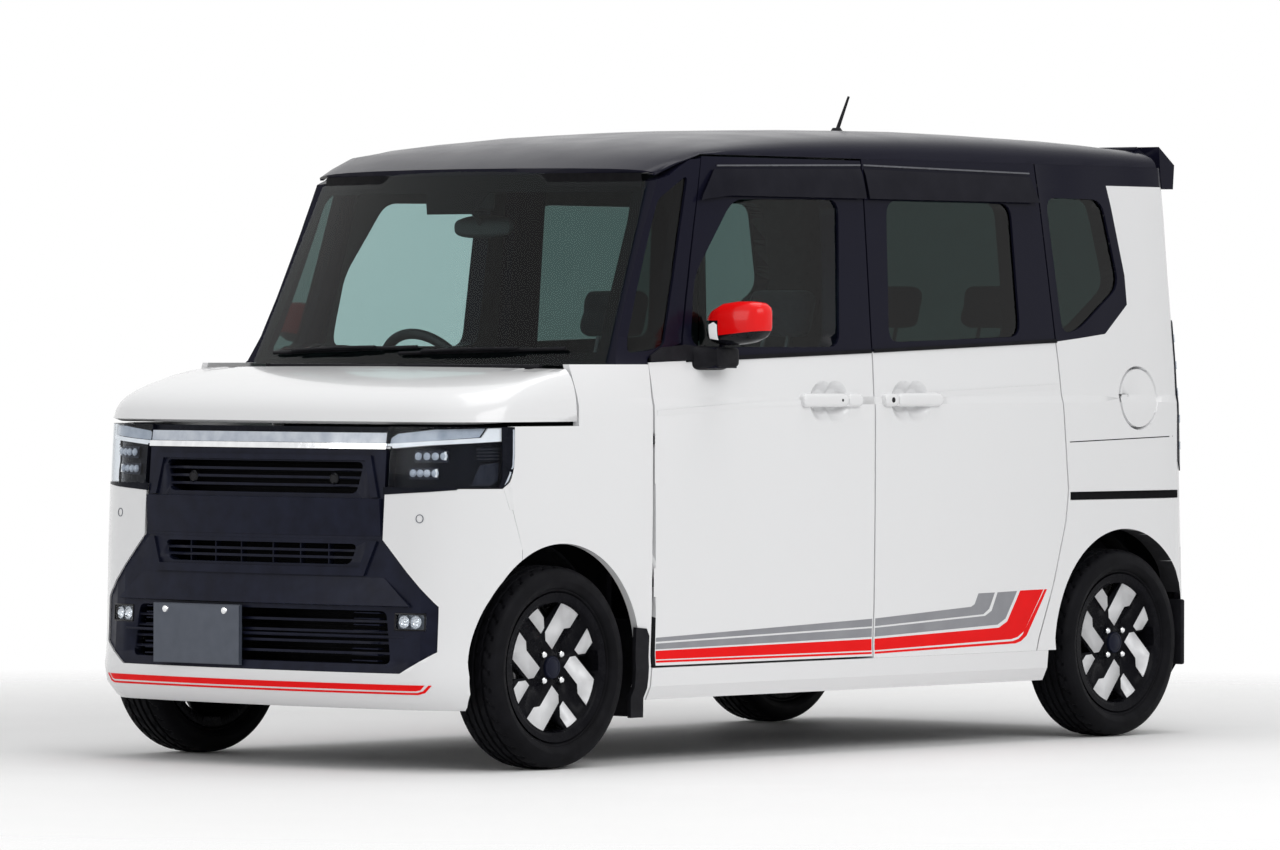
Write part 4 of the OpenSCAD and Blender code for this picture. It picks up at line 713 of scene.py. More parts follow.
# For each piece: its node, outline, finish, lift, step, slot and thickness
sideTrim = {
    "visor_front": ("front_door", [(0.610, 1.560), (0.537, 1.648), (-0.106, 1.660), (-0.106, 1.574), (0.490, 1.574)],
                    visorSmoke, visorLift, 0.02, "black_plastic", 0.003),
    "visor_rear": ("sliding_doors", [(-0.120, 1.574), (-0.120, 1.660), (-0.884, 1.650), (-0.912, 1.574)],
                   visorSmoke, visorLift, 0.02, "black_plastic", 0.003),
    # the drip rails: thin pale lines on the visor tops, part drip seam and part painted highlight
    "drip_rail_front": ("front_door", [(0.52, 1.6565), (-0.106, 1.6690), (-0.106, 1.6735), (0.52, 1.6610)],
                        dripGrey, 0.004, 0.05, "black_paint", 0.005),
    "drip_rail_rear": ("sliding_doors", [(-0.120, 1.6690), (-0.890, 1.6590), (-0.890, 1.6635), (-0.120, 1.6735)],
                       dripGrey, 0.004, 0.05, "black_paint", 0.005),
    "belt_seal_front": ("front_door", [(0.70, 1.110), (-0.108, 1.1355), (-0.108, 1.1455), (0.70, 1.122)],
                        rubberBlack, 0.004, 0.05, "black_plastic", 0.004),
    "belt_seal_rear": ("sliding_doors", [(-0.118, 1.1362), (-0.975, 1.1665), (-0.975, 1.1765), (-0.118, 1.1462)],
                       rubberBlack, 0.004, 0.05, "black_plastic", 0.004),
    "crease_front": ("front_door", creaseBand("front"), pearlWhite, creaseLift("front"), 0.008, "white_paint", 0.0008),
    "crease_middle": ("sliding_doors", creaseBand("middle"), pearlWhite, creaseLift("middle"), 0.008, "white_paint",
                      0.0008),
    "quarter_seam": ("quarter_panels", [(-1.022, 0.8735), (-1.575, 0.8880), (-1.575, 0.8910), (-1.022, 0.8765)],
                     grainBlack, 0.0002, 0.05, "black_plastic", 0.0003),
    "rail_dark": ("quarter_panels", rect(-1.570, -1.034, 0.7045, 0.7275), fritBlack, 0.004, 0.03, "black_plastic",
                  0.002),
}
for side, sign in sides:
    for name, (node, outline, mat, lift, step, slot, thickness) in sideTrim.items():
        place = "front_door_" + side if node == "front_door" else node
        decal("%s_%s" % (name, side), outline, [place], mat, 1, sign, lift, step, thickness)
print("visors and seals laid")


# Headlamps: dark bowl, white light strip, two lens groups, a clear cover and the dark edge round it

lamp = {
    "centre": (1.30, 0.42), "depth": 0.03,
    "whole": rect(4.2, 63.0, 0.7695, 0.9345),
    "strip": [(4.6, 0.876), (27.7, 0.886), (48.6, 0.892), (61.6, 0.896), (61.6, 0.932), (54.8, 0.931), (51.8, 0.906),
              (27.6, 0.897), (4.6, 0.889)],
    "wedge": [(4.8, 0.8905), (27.4, 0.8985), (51.0, 0.9075), (53.8, 0.931), (30, 0.929), (9, 0.917), (5.2, 0.905)],
    "corner": [(47, 0.776), (52, 0.832), (61.5, 0.838), (61.0, 0.790), (57, 0.776)],
    "upperCells": (20.8, 34.2, 0.857, 4), "lowerCells": (18.2, 29.8, 0.8105, 4), "cellRadius": 0.0095,
    "cellDepth": 0.0195, "frameEnds": (2.6, 1.8), "frameHalf": 0.016, "whiteEnd": (0.4, 1.3, -0.011, 0.012),
    "ribs": [0.848, 0.857, 0.866, 0.875], "ribSpan": (50, 50.6, 61.5), "ribHalf": 0.0018,
    "edge": [(1.474, 0.7695), (1.462, 0.7695), (1.446, 0.780), (1.434, 0.798), (1.426, 0.825), (1.423, 0.860),
             (1.423, 0.9345), (1.464, 0.9345), (1.464, 0.800)],
    # the pale line along the cover's outer edge is a painted highlight of the glass edge
    "paintedHighlight": [(1.459, 0.778), (1.446, 0.789), (1.436, 0.806), (1.4296, 0.830), (1.4272, 0.862), (1.4272, 0.928),
              (1.433, 0.928), (1.433, 0.862), (1.435, 0.832), (1.441, 0.809)],
    "fill": [(1.462, 0.769), (1.446, 0.7795), (1.434, 0.7975), (1.4262, 0.824), (1.4262, 0.710), (1.438, 0.710)],
    # a dark band on the bumper under the lamp, laid over the bumper's lit top edge: painted shade of the gap below the
    # lamp
    "skirt": [(0.444, 0.7505), (0.585, 0.7590), (0.655, 0.7650), (0.655, 0.7712), (0.444, 0.7712)],
}
lampNodes = ["front_lamps"]
lampBody = bodyOf["front_lamps"]


def lampSheet(name, outline, sign, lift, mat, thickness):
    wrapped(name, outline, lampNodes, lamp["centre"], sign, lift, mat, thickness)


for side, sign in sides:
    bowl = wrappedBowl("headlamp_bowl_" + side, lamp["whole"], lampNodes, lamp["centre"], sign, lamp["depth"], lampDark)
    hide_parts("front_lamps")
    lampSheet("headlamp_strip_" + side, lamp["strip"], sign, -0.006, lampWhite, 0.012)
    lampSheet("headlamp_wedge_" + side, lamp["wedge"], sign, -0.014, lampPale, 0.004)
    lampSheet("headlamp_corner_" + side, lamp["corner"], sign, -0.02, lampGreyBlue, 0.004)
    a0, a1, a2 = lamp["ribSpan"]
    half = lamp["ribHalf"]
    for i, z in enumerate(lamp["ribs"]):
        rib = [(a0, z - half), (a2, z - half), (a2, z + half), (a1, z + half)]
        lampSheet("headlamp_rib_%d_%s" % (i, side), rib, sign, -0.018, lampGreyBlue, 0.006)
    for group in ("upperCells", "lowerCells"):
        first, last, z, count = lamp[group]
        (before, after), half = lamp["frameEnds"], lamp["frameHalf"]
        back = rect(first - before, last + after, z - half, z + half)
        lampSheet("headlamp_%s_frame_%s" % (group, side), back, sign, -0.021, lampGreyBlue, 0.003)
        bm = bmesh.new()
        r = lamp["cellRadius"]
        cell = [(r * 1.1, 0), (r * 1.1, 0.003), (r, 0.003), (r * 0.8, 0.0065), (r * 0.45, 0.0085), (0, 0.009)]
        for k in range(count):
            start, out = outFrom(lamp["centre"], sign, math.radians(first + (last - first) * k / (count - 1)), z)
            place, normal = skinHit("front_lamps", start, -out)
            lathe(bm, cell, place - normal * lamp["cellDepth"], normal, 20)
        linkPiece("headlamp_%s_%s" % (group, side), bm, lampPale, lampBody, 50)
        a0, a1, z0, z1 = lamp["whiteEnd"]
        end = rect(last + a0, last + a1, z + z0, z + z1)
        lampSheet("headlamp_%s_end_%s" % (group, side), end, sign, -0.012, lampWhite, 0.004)
    around = lampNodes + ["fenders", "front_bumper"]
    # The dark edge is the cover's gasket; the pale line beside it is a painted highlight along the glass edge.
    for name, line, mat, lift, slot, thickness in (
            ("headlamp_edge_", "edge", lampDark, 0.0012, "black_plastic", 0.002),
            ("headlamp_gleam_", "paintedHighlight", lampPale, 0.0040, "clear_glass", 0.0012),
            ("fender_fill_", "fill", pearlWhite, 0.0010, "white_paint", 0.002)):
        decal(name + side, lamp[line], around, mat, 1, sign, lift, 0.008, thickness)
    # painted shade: a dark band over the bumper's top edge under the lamp, where the gap falls in shade
    noseDecal("headlamp_gap_shade_" + side, mirrored(lamp["skirt"], sign), ["front_bumper"], lampDark, 0.0012,
              0.002, 0.012)
    lampSheet("headlamp_cover_" + side, lamp["whole"], sign, -0.0002, lampGlass, 0.002)
print("headlamps made")


# Bright bar between the lamps, fog lamps and the number plate

nose = {"bar": 0.446, "barBack": (0.873, 0.935), "barLow": (0.8735, 0.889), "barHigh": (0.8905, 0.918),
        "barInset": 0.004, "fogY": (0.494, 0.586), "fogZ": (0.386, 0.430), "fogCups": (0.3, 0.7), "fogDepth": 0.015,
        "fogCup": [(0.017, 0.012), (0.015, 0.006), (0.010, 0.002), (0.006, 0.001), (0.0055, 0.008), (0.003, 0.0105),
                   (0, 0.011)],
        "fogFrame": 0.0028, "frameIn": 0.02}
y, inset = nose["bar"], nose["barInset"]
noseDecal("bar_back", rect(-y, y, *nose["barBack"]), lampNodes, lampDark, -0.012, 0.004)
noseDecal("bar_chrome", rect(-y, y, *nose["barLow"]), lampNodes, brightTrim, 0.002, 0.010)
noseDecal("bar_light", rect(inset - y, y - inset, *nose["barHigh"]), lampNodes, lampPale, -0.002, 0.006)
for side, sign in sides:
    y0, y1 = sorted((nose["fogY"][0] * sign, nose["fogY"][1] * sign))
    z0, z1 = nose["fogZ"]
    corners = rect(y0, y1, z0, z1)
    noseDecal("fog_back_" + side, corners, lampNodes, lampPale, -0.016, 0.004)
    bm = bmesh.new()
    for k in nose["fogCups"]:
        place, normal = frontHit("front_lamps", y0 + (y1 - y0) * k, (z0 + z1) / 2)
        lathe(bm, nose["fogCup"], place - normal * nose["fogDepth"], normal, 28)
    linkPiece("fog_cups_" + side, bm, brightTrim, lampBody, 40)
    noseDecal("fog_cover_" + side, corners, lampNodes, lampGlass, 0.0005, 0.002)
    bm = bmesh.new()
    middle, inwards = Vector(((y0 + y1) / 2, (z0 + z1) / 2)), nose["frameIn"]
    for a, b in zip(corners, corners[1:] + corners[:1]):
        spots = [Vector(a).lerp(Vector(b), k / 4).lerp(middle, inwards) for k in range(5)]
        tubeInto(bm, [frontHit("front_lamps", *spot)[0] for spot in spots], nose["fogFrame"], 8)
    linkPiece("fog_frame_" + side, bm, glossBlack, lampBody, 40)

low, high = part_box("number_plate")
plate = {"edge": 0.002, "rim": 0.008, "step": 0.003, "lift": 0.0016, "bolts": ((-0.314, 0.4255), (-0.089, 0.4255)),
         "boltRadius": 0.0105}
plateBody = bodyOf["number_plate"]
edge = plate["edge"]
bm = bmesh.new()
outerLine = rect(low[1] + edge, high[1] - edge, low[2] + edge, high[2] - edge)
face = bm.faces.new([bm.verts.new((0, u, v)) for u, v in outerLine])
bmesh.ops.inset_region(bm, faces=[face], thickness=plate["rim"], depth=0)
inner = [f for f in bm.faces if all(min(abs(v.co.y - low[1]), abs(v.co.y - high[1])) > 0.005 for v in f.verts)]
bmesh.ops.inset_region(bm, faces=inner, thickness=plate["step"], depth=0)
layOn(bm, ["number_plate"], 0, 1, 0.0008)
pressed = [f for f in bm.faces if any(v.is_boundary for v in f.verts)]
for vert in {v for f in pressed for v in f.verts}:
    vert.co.x += plate["lift"]
thicken(bm, -0.001)
linkPiece("plate_blank", bm, plateGrey, plateBody, 25)
bm = bmesh.new()
r = plate["boltRadius"]
for boltY, boltZ in plate["bolts"]:
    place, normal = frontHit("number_plate", boltY, boltZ)
    lathe(bm, [(r * 1.25, 0), (r * 1.25, 0.0012), (r, 0.002), (r * 0.85, 0.0058), (r * 0.5, 0.0072), (0, 0.0076)],
          place, normal, 24)
linkPiece("plate_bolts", bm, brightTrim, plateBody, 40)
print("bar, fog lamps and plate made")


# Mirrors: red cap, black lower shell, signal lens, glass and foot

mirror = {
    "pivot": 0.6015, "flat": 0.036, "rim": 0.006,
    "stations": [(0, 0.7275, 1.206, 0.014, 0.018), (0, 0.735, 1.208, 0.028, 0.036), (0, 0.752, 1.210, 0.038, 0.047),
                 (-0.002, 0.785, 1.215, 0.043, 0.058), (-0.003, 0.835, 1.2185, 0.044, 0.0605),
                 (-0.005, 0.880, 1.222, 0.043, 0.057), (-0.008, 0.908, 1.226, 0.038, 0.049),
                 (-0.011, 0.921, 1.229, 0.028, 0.036), (-0.012, 0.9265, 1.230, 0.014, 0.018)],
    "capLine": ((0.78, 1.184), (0.92, 1.197)), "lensSide": 0.786, "lensTop": 1.226,
    "lens": [(0.752, 1.176), (0.783, 1.172), (0.783, 1.214), (0.770, 1.221), (0.752, 1.214)],
    "glass": (0.833, 1.219), "glassHalf": (0.080, 0.046), "glassBack": 0.002, "glassThick": 0.003,
    "foot": [(0.0, 0.700, 1.121, 0.078, 0.034), (0.0, 0.728, 1.121, 0.074, 0.033), (0.0, 0.742, 1.122, 0.058, 0.0305),
             (0.0, 0.770, 1.123, 0.051, 0.0295), (0.0, 0.790, 1.124, 0.047, 0.0275), (0.0, 0.796, 1.125, 0.036, 0.020)],
    "base": [(0.845, 1.112), (0.845, 1.128), (0.80, 1.150), (0.70, 1.158), (0.56, 1.146), (0.545, 1.118)],
}
pivot = mirror["pivot"]
back = pivot - mirror["flat"]


def mirrorLoft(stations, sign, power):
    bm = bmesh.new()
    loftInto(bm, [((pivot + dx, y * sign, z), hx, hz) for dx, y, z, hx, hz in mirror[stations]], (0, 1, 0), power, 40)
    return bm


for side, sign in sides:
    body, door, shape = bodyOf["mirror_" + side], "front_door_" + side, "mirror_%s_shape" % side
    bm = mirrorLoft("stations", sign, 2.9)
    for vert in bm.verts:
        vert.co.x = max(vert.co.x, back)
    (ya, za), (yb, zb) = mirror["capLine"]
    cutBy(bm, (0, ya * sign, za), (0, -(zb - za) * sign, yb - ya))
    cutBy(bm, (0, mirror["lensSide"] * sign, 0), (0, 1, 0))
    cutBy(bm, (0, 0, mirror["lensTop"]), (0, 0, 1))
    cutBy(bm, (back + mirror["rim"], 0, 0), (1, 0, 0))
    for face in bm.faces:
        c = face.calc_center_median()
        cap = c.z > za + (zb - za) * (c.y * sign - ya) / (yb - ya) and c.x > back + mirror["rim"]
        lensCorner = c.y * sign < mirror["lensSide"] and c.z < mirror["lensTop"]
        face.material_index = 0 if cap and not lensCorner else 1
    skins[shape] = BVHTree.FromBMesh(bm)
    shell = linkPiece("mirror_shell_" + side, bm, [capRed, glossBlack], body, 40)
    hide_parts("mirror_" + side)
    decal("mirror_signal_" + side, mirrored(mirror["lens"], sign), [shape], lampWhite, 0, 1, 0.0015, 0.01,
          0.003, body)
    bm = bmesh.new()
    ringInto(bm, (0, 0, 0), *mirror["glassHalf"], (0, 0, 1), 3.4, 40)
    bmesh.ops.edgeloop_fill(bm, edges=bm.edges[:])
    y, z = mirror["glass"]
    seat = Matrix(((0, 0, 1, back - mirror["glassBack"]), (1, 0, 0, y * sign), (0, 1, 0, z), (0, 0, 0, 1)))
    bmesh.ops.transform(bm, matrix=seat, verts=bm.verts)
    bmesh.ops.solidify(bm, geom=bm.faces[:], thickness=mirror["glassThick"])
    bmesh.ops.recalc_face_normals(bm, faces=bm.faces)
    linkPiece("mirror_glass_" + side, bm, brightTrim, body, 30)
    linkPiece("mirror_foot_" + side, mirrorLoft("foot", sign, 5.0), grainBlack, bodyOf[door], 40)
    decal("mirror_base_" + side, mirror["base"], [door], grainBlack, 1, sign, 0.005, 0.02, 0.006)
print("mirrors made")


# Door handles: rounded bars with end caps over the dishes in the doors

handles = {"height": 1.002, "half": 0.0195, "deep": 0.0155, "frontBar": (0.0215, 0.219), "frontCap": (-0.043, 0.0185),
           "rearBar": (-0.408, -0.2085), "rearCap": (-0.2055, -0.146), "frontDot": ("Bar", 0.051, 0.0042),
           "rearDot": ("Cap", -0.178, 0.0078), "sink": 0.0085,
           "ends": ((0, 0.45), (0.004, 0.8), (0.012, 0.97), (0.03, 1.0))}


def handleBar(name, node, span, sign):
    x0, x1 = span
    height = handles["height"]
    skinY = max(abs(sideHit(node, x, height, sign)[0].y) for x in (x0, (x0 + x1) / 2, x1)) - handles["sink"]
    rings = [(x0 + k, size) for k, size in handles["ends"]]
    rings += [(x1 - (x - x0), size) for x, size in reversed(rings)]
    bm = bmesh.new()
    loftInto(bm, [((x, skinY * sign, height), handles["half"] * size, handles["deep"] * (0.75 + 0.25 * size))
                  for x, size in rings], (1, 0, 0), 3.6, 32)
    skins[name] = BVHTree.FromBMesh(bm)
    linkPiece(name, bm, pearlWhite, bodyOf[node], 40)


for side, sign in sides:
    for name, node in (("front", "front_door_" + side), ("rear", "sliding_doors")):
        for part in ("Bar", "Cap"):
            handleBar("handle_%s_%s_%s" % (name, part.lower(), side), node, handles[name + part], sign)
        part, dotX, r = handles[name + "Dot"]
        place, normal = sideHit("handle_%s_%s_%s" % (name, part.lower(), side), dotX, handles["height"], sign)
        bm = bmesh.new()
        lathe(bm, [(r, -0.002), (r, 0.0004), (r * 0.8, 0.0009), (0, 0.0005)], place, (0, sign, 0), 24)
        linkPiece("handle_%s_dot_%s" % (name, side), bm, glossBlack, bodyOf[node], 40)
print("handles made")


# Wheel fittings and tyres with blocks cut in the tread

fittings = {"bolts": 0.05, "boltSeat": 0.034, "nut": 0.0098, "nutHeight": 0.016, "face": 0.044, "cap": 0.031,
            "disc": (0.055, 0.128, -0.014, -0.003), "frontDisc": 0.092, "treadSteps": 216, "valve": (-0.62, 0, 0.72),
            "valveAt": 0.171, "valveHeights": (0.018, 0.034, 0.052), "valveRadius": 0.0036}
tyre = {
    "half": [(0.1905, 0.0475), (0.2045, 0.0565), (0.2075, 0.0615), (0.2105, 0.0655), (0.2135, 0.066), (0.2150, 0.0695),
             (0.2185, 0.0745), (0.2235, 0.0775), (0.2290, 0.0800), (0.2335, 0.0815), (0.2360, 0.0822), (0.2385, 0.0815),
             (0.2430, 0.0815), (0.2500, 0.0800), (0.2560, 0.0785), (0.2610, 0.0765), (0.2655, 0.0735), (0.2690, 0.0695),
             (0.2715, 0.0650), (0.2735, 0.0600), (0.2745, 0.0545), (0.2755, 0.0500)],
    "tread": [(0.2762, 0.0450), (0.2765, 0.0420), (0.2705, 0.0408), (0.2705, 0.0332), (0.2770, 0.0320),
              (0.2774, 0.0240), (0.2776, 0.0165), (0.2712, 0.0152), (0.2712, 0.0076), (0.2778, 0.0062), (0.2779, 0.0)],
    "shoulder": (0.0405, 0.062), "shoulderCut": 0.0055, "rib": (0.0155, 0.0325), "ribCut": 0.004, "every": 6,
    "slant": 130, "cutFrom": 0.2735, "shoulderDrop": 0.008,
}


def lateralCut(index, width):                # depth of the cross grooves at one step and place across the tread
    across = abs(width)
    shift = int(across * tyre["slant"])
    if tyre["shoulder"][0] < across <= tyre["shoulder"][1]:
        return tyre["shoulderCut"] if (index + shift) % tyre["every"] == 0 else 0.0
    if tyre["rib"][0] < across < tyre["rib"][1]:
        return tyre["ribCut"] if (index - shift + (3 if width > 0 else 0)) % tyre["every"] == 0 else 0.0
    return 0.0


profile = tyre["half"] + tyre["tread"]
profile = [(r, -w) for r, w in profile] + [(r, w) for r, w in reversed(profile[:-1])]
for place, (axleX, sign) in wheelPlaces.items():
    hub = Vector((axleX, axles["side"] * sign, axles["height"]))
    axis = Vector((0, sign, 0))
    turn = Vector((0, 0, 1)).rotation_difference(axis).to_matrix().to_4x4()
    steps = fittings["treadSteps"]
    bm = bmesh.new()
    lathe(bm, profile, hub, axis, steps)
    for vert in bm.verts:
        offset = vert.co - hub
        width = offset.y * sign
        flat = Vector((offset.x, 0, offset.z))
        drop = tyre["shoulderDrop"] if abs(width) > tyre["shoulder"][0] else 0
        if flat.length > tyre["cutFrom"] - drop:
            vert.co -= flat.normalized() * lateralCut(round(math.atan2(flat.z, flat.x) / math.tau * steps), width)
    rubber = linkPiece("tyre_tread_" + place, bm, rubberBlack, bodyOf["tyre_" + place], 32)
    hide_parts("tyre_" + place)
    wheelBody = bodyOf["wheel_" + place]
    bm = bmesh.new()
    r, tall = fittings["nut"], fittings["nutHeight"]
    for k in range(4):
        angle = math.radians(45 + 90 * k)
        out = Vector((math.cos(angle), 0, math.sin(angle)))
        spot = hub + out * fittings["bolts"] + axis * fittings["boltSeat"]
        bmesh.ops.create_cone(bm, cap_ends=True, segments=6, radius1=r, radius2=r * 0.96, depth=tall,
                              matrix=Matrix.Translation(spot + axis * tall / 2) @ turn)
        lathe(bm, [(r * 0.92, 0), (r * 0.9, 0.003), (r * 0.62, 0.006), (0, 0.0072)], spot + axis * tall, axis, 18)
    linkPiece("wheel_nuts_" + place, bm, brightTrim, wheelBody, 30)
    bm = bmesh.new()
    r = fittings["cap"]
    lathe(bm, [(r, 0), (r, 0.006), (r * 0.95, 0.0085), (r * 0.84, 0.0092), (r * 0.80, 0.0080), (r * 0.76, 0.0080),
               (r * 0.70, 0.0090), (r * 0.3, 0.0108), (0, 0.0112)], hub + axis * fittings["face"], axis, 40)
    linkPiece("wheel_cap_" + place, bm, satinBlack, wheelBody, 35)
    r0, r1, d0, d1 = fittings["disc"]
    if place.startswith("front"):
        r1 = fittings["frontDisc"]               # clears the lower arm at full lock
    bm = bmesh.new()
    lathe(bm, [(r0, d0), (r1 - 0.002, d0), (r1, d0 + 0.002), (r1, d1 - 0.002), (r1 - 0.002, d1), (r0 + 0.012, d1),
               (r0 + 0.008, d1 + 0.006), (r0, d1 + 0.006), (r0, d0)], hub, axis, 48)
    linkPiece("brake_disc_" + place, bm, steelGrey, wheelBody, 35)
    bm = bmesh.new()
    valve = hub + Vector(fittings["valve"]).normalized() * fittings["valveAt"]
    tubeInto(bm, [valve + axis * h for h in fittings["valveHeights"]], fittings["valveRadius"], 10)
    linkPiece("wheel_valve_" + place, bm, rubberBlack, wheelBody, 40)
print("wheel fittings and tyres made")


# Tail lamps: dark back, pale light guides and a red-tinted cover round the rear corners

tail = {
    "centre": (-1.45, 0.45), "low": 0.783, "high": 1.237, "depth": 0.018, "step": (2.0, 0.05), "fineStep": (1.5, 0.05),
    "whole": [(119.2, 0.783), (142.4, 0.783), (141.3, 0.86), (138.9, 1.05), (136.2, 1.237), (123.8, 1.237),
              (123.0, 1.20), (122.0, 1.15), (120.8, 1.05), (119.8, 0.95), (119.3, 0.86)],
    "guides": ((124.4, 126.2), (128.2, 131.0), (132.6, 135.6)),
    "ticks": (0.86, 0.95, 1.04, 1.12, 1.19), "tickSpan": (124.8, 135.0), "tickHalf": 0.004,
}


def tailSheet(name, outline, sign, lift, mat, thickness, step="step", node="tail_lamps"):
    wrapped(name, outline, [node], tail["centre"], sign, lift, mat, thickness, tail[step])


for side, sign in sides:
    z0, z1 = tail["low"], tail["high"]
    bowl = wrappedBowl("tail_bowl_" + side, tail["whole"], ["tail_lamps"], tail["centre"], sign, tail["depth"],
                       lampDark, tail["step"])
    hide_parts("tail_lamps")
    for i, (a0, a1) in enumerate(tail["guides"]):
        guide = [(a0, z0 + 0.035), (a1, z0 + 0.022), (a1, z1 - 0.022), (a0, z1 - 0.045)]
        mat = lensRed if i else lampWhite
        tailSheet("tail_guide_%d_%s" % (i, side), guide, sign, -0.008, mat, 0.006, "fineStep")
    for i, z in enumerate(tail["ticks"]):
        tick = rect(*tail["tickSpan"], z - tail["tickHalf"], z + tail["tickHalf"])
        tailSheet("tail_tick_%d_%s" % (i, side), tick, sign, -0.0065, lampDark, 0.005)
    tailSheet("tail_cover_" + side, tail["whole"], sign, 0.0, redGlass, 0.002)
print("tail lamps made")


# Tailgate fittings, rear bumper fittings, the rear wiper and the stop lamp

rear = {
    "garnish": [(-0.36, 0.945), (0.36, 0.945), (0.34, 0.985), (-0.34, 0.985)],
    "grip": [(-0.13, 0.930), (0.13, 0.930), (0.12, 0.944), (-0.12, 0.944)],
    "plate": (-0.165, 0.165, 0.745, 0.910), "recess": (0.05, 0.03, 0.018), "rim": 0.007, "lip": 0.0015,
    "reflector": rect(0.52, 0.63, 0.395, 0.425),
    "skirt": [(-0.56, 0.190), (0.56, 0.190), (0.50, 0.285), (-0.50, 0.285)],
    "wiperFoot": (-0.02, 1.105), "wiperTip": (0.36, 1.165), "wiperStand": (0.026, 0.016), "wiperRadius": 0.006,
    "stopLamp": rect(-0.16, 0.16, 1.648, 1.664),
}
gateBody = bodyOf["tailgate"]
rearDecal("gate_garnish", rear["garnish"], "tailgate", glossBlack, 0.010, 0.012)
rearDecal("gate_grip", rear["grip"], "tailgate", grainBlack, 0.012, 0.010, 0.03)
y0, y1, z0, z1 = rear["plate"]
beside, below, above = rear["recess"]
recess = rect(y0 - beside, y1 + beside, z0 - below, z1 + above)
rearDecal("gate_recess", recess, "tailgate", grainBlack, 0.002, 0.002)
bm = bmesh.new()
face = bm.faces.new([bm.verts.new((0, u, v)) for u, v in rect(y0, y1, z0, z1)])
bmesh.ops.inset_region(bm, faces=[face], thickness=rear["rim"], depth=0)
layOn(bm, ["tailgate"], 0, -1, 0.012)
middleX = min(v.co.x for v in bm.verts)
slope = (max(v.co.x for v in bm.verts if v.co.z > z1 - 0.01) - middleX) / (z1 - z0)
for vert in bm.verts:
    vert.co.x = middleX + slope * (vert.co.z - z0) - (rear["lip"] if vert.is_boundary else 0.0)
faceTo(bm, Vector((-1, 0, 0)))
bmesh.ops.solidify(bm, geom=bm.faces[:], thickness=0.0015)
linkPiece("plate_rear_blank", bm, plateGrey, gateBody, 25)
for side, sign in sides:
    outline = mirrored(rear["reflector"], sign)
    rearDecal("rear_reflector_" + side, outline, "rear_bumper", lensRed, 0.004, 0.005, 0.03)
rearDecal("rear_skirt", rear["skirt"], "rear_bumper", grainBlack, 0.003, 0.004)
bm = bmesh.new()
points = []
(ya, za), (yb, zb) = rear["wiperFoot"], rear["wiperTip"]
stand, tipStand = rear["wiperStand"]
for k in range(9):
    start = (-farAway, ya + (yb - ya) * k / 8, za + (zb - za) * k / 8)
    spot, normal = skinHit("tailgate_glass", start, (1, 0, 0))
    if spot is not None:
        points.append(spot + normal * (stand + (tipStand - stand) * k / 8))
tubeInto(bm, points, rear["wiperRadius"], 8)
foot, normal = skinHit("tailgate_glass", (-farAway, ya, za), (1, 0, 0))
lathe(bm, [(0.026, 0), (0.025, 0.018), (0.018, 0.030), (0, 0.034)], foot, normal, 24)
linkPiece("rear_wiper", bm, grainBlack, gateBody, 40)
rearDecal("stop_lamp", rear["stopLamp"], "spoiler", lensRed, 0.002, 0.003)
print("rear fittings made")


# Windscreen: black printed border behind the glass, sensor box and inner mirror

screen = {"low": 1.104, "high": 1.636, "band": 0.03, "footBand": 0.035, "topBand": 0.05, "depth": -0.0062,
          "search": (0.45, 0.68, 0.004), "inset": 0.003, "levels": 12, "tongue": (0.12, 0.09, 0.06),
          "sensorLow": (-0.105, -0.075, 1.535), "sensorHigh": (-0.035, 0.075, 1.60), "mirror": (-0.135, 1.49)}


def screenSide(z):                            # half width of the glass at a height, found on the glass itself
    reach, furthest, step = screen["search"]
    while reach < furthest and frontHit("windscreen", reach + step, z)[0] is not None:
        reach += step
    return reach - screen["inset"]


def border(name, outline):
    noseDecal("screen_border_" + name, outline, ["windscreen"], fritBlack, screen["depth"], 0.0005,
              0.05)


low, high = screen["low"], screen["high"]
levels = [low + (high - low) * k / screen["levels"] for k in range(screen["levels"] + 1)]
edge = [(screenSide(z), z) for z in levels]
for side, sign in sides:
    border(side, mirrored(edge + [(y - screen["band"], z) for y, z in reversed(edge)], sign))
footSide, headSide = edge[0][0] - 0.004, edge[-2][0] - 0.004
border("foot", rect(-footSide, footSide, low, low + screen["footBand"]))
top = high - screen["topBand"]
wide, narrow, drop = screen["tongue"]
border("head", [(-headSide, top), (-wide, top), (-narrow, top - drop), (narrow, top - drop), (wide, top),
                (headSide, top), (headSide - 0.01, high), (0.01 - headSide, high)])
glassX = frontHit("windscreen", 0, 1.555)[0].x
bm = bmesh.new()
(x0, *low), (x1, *high) = screen["sensorLow"], screen["sensorHigh"]
boxInto(bm, (glassX + x0, *low), (glassX + x1, *high), 0.012, 4)
linkPiece("sensor_box", bm, trimBlack, "body", 40)
bm = bmesh.new()
dx, z = screen["mirror"]
loftInto(bm, [((glassX + dx + 0.012 * k, 0, z - 0.003 * k), 0.030 * size, 0.105 * size)
              for k, size in ((-1, 0.9), (-0.8, 1.0), (0.6, 1.0), (1.2, 0.8), (1.5, 0.5))], (1, 0, 0), 3.0, 36)
tubeInto(bm, [(glassX - 0.13, 0, 1.49), (glassX - 0.10, 0, 1.525), (glassX - 0.07, 0, 1.555)], 0.009, 10)
linkPiece("inner_mirror", bm, trimBlack, "body", 40)
print("windscreen dressed")


# Front grille: raised frames, the broad cross panel, fins, a cross bar and the cooler behind the openings

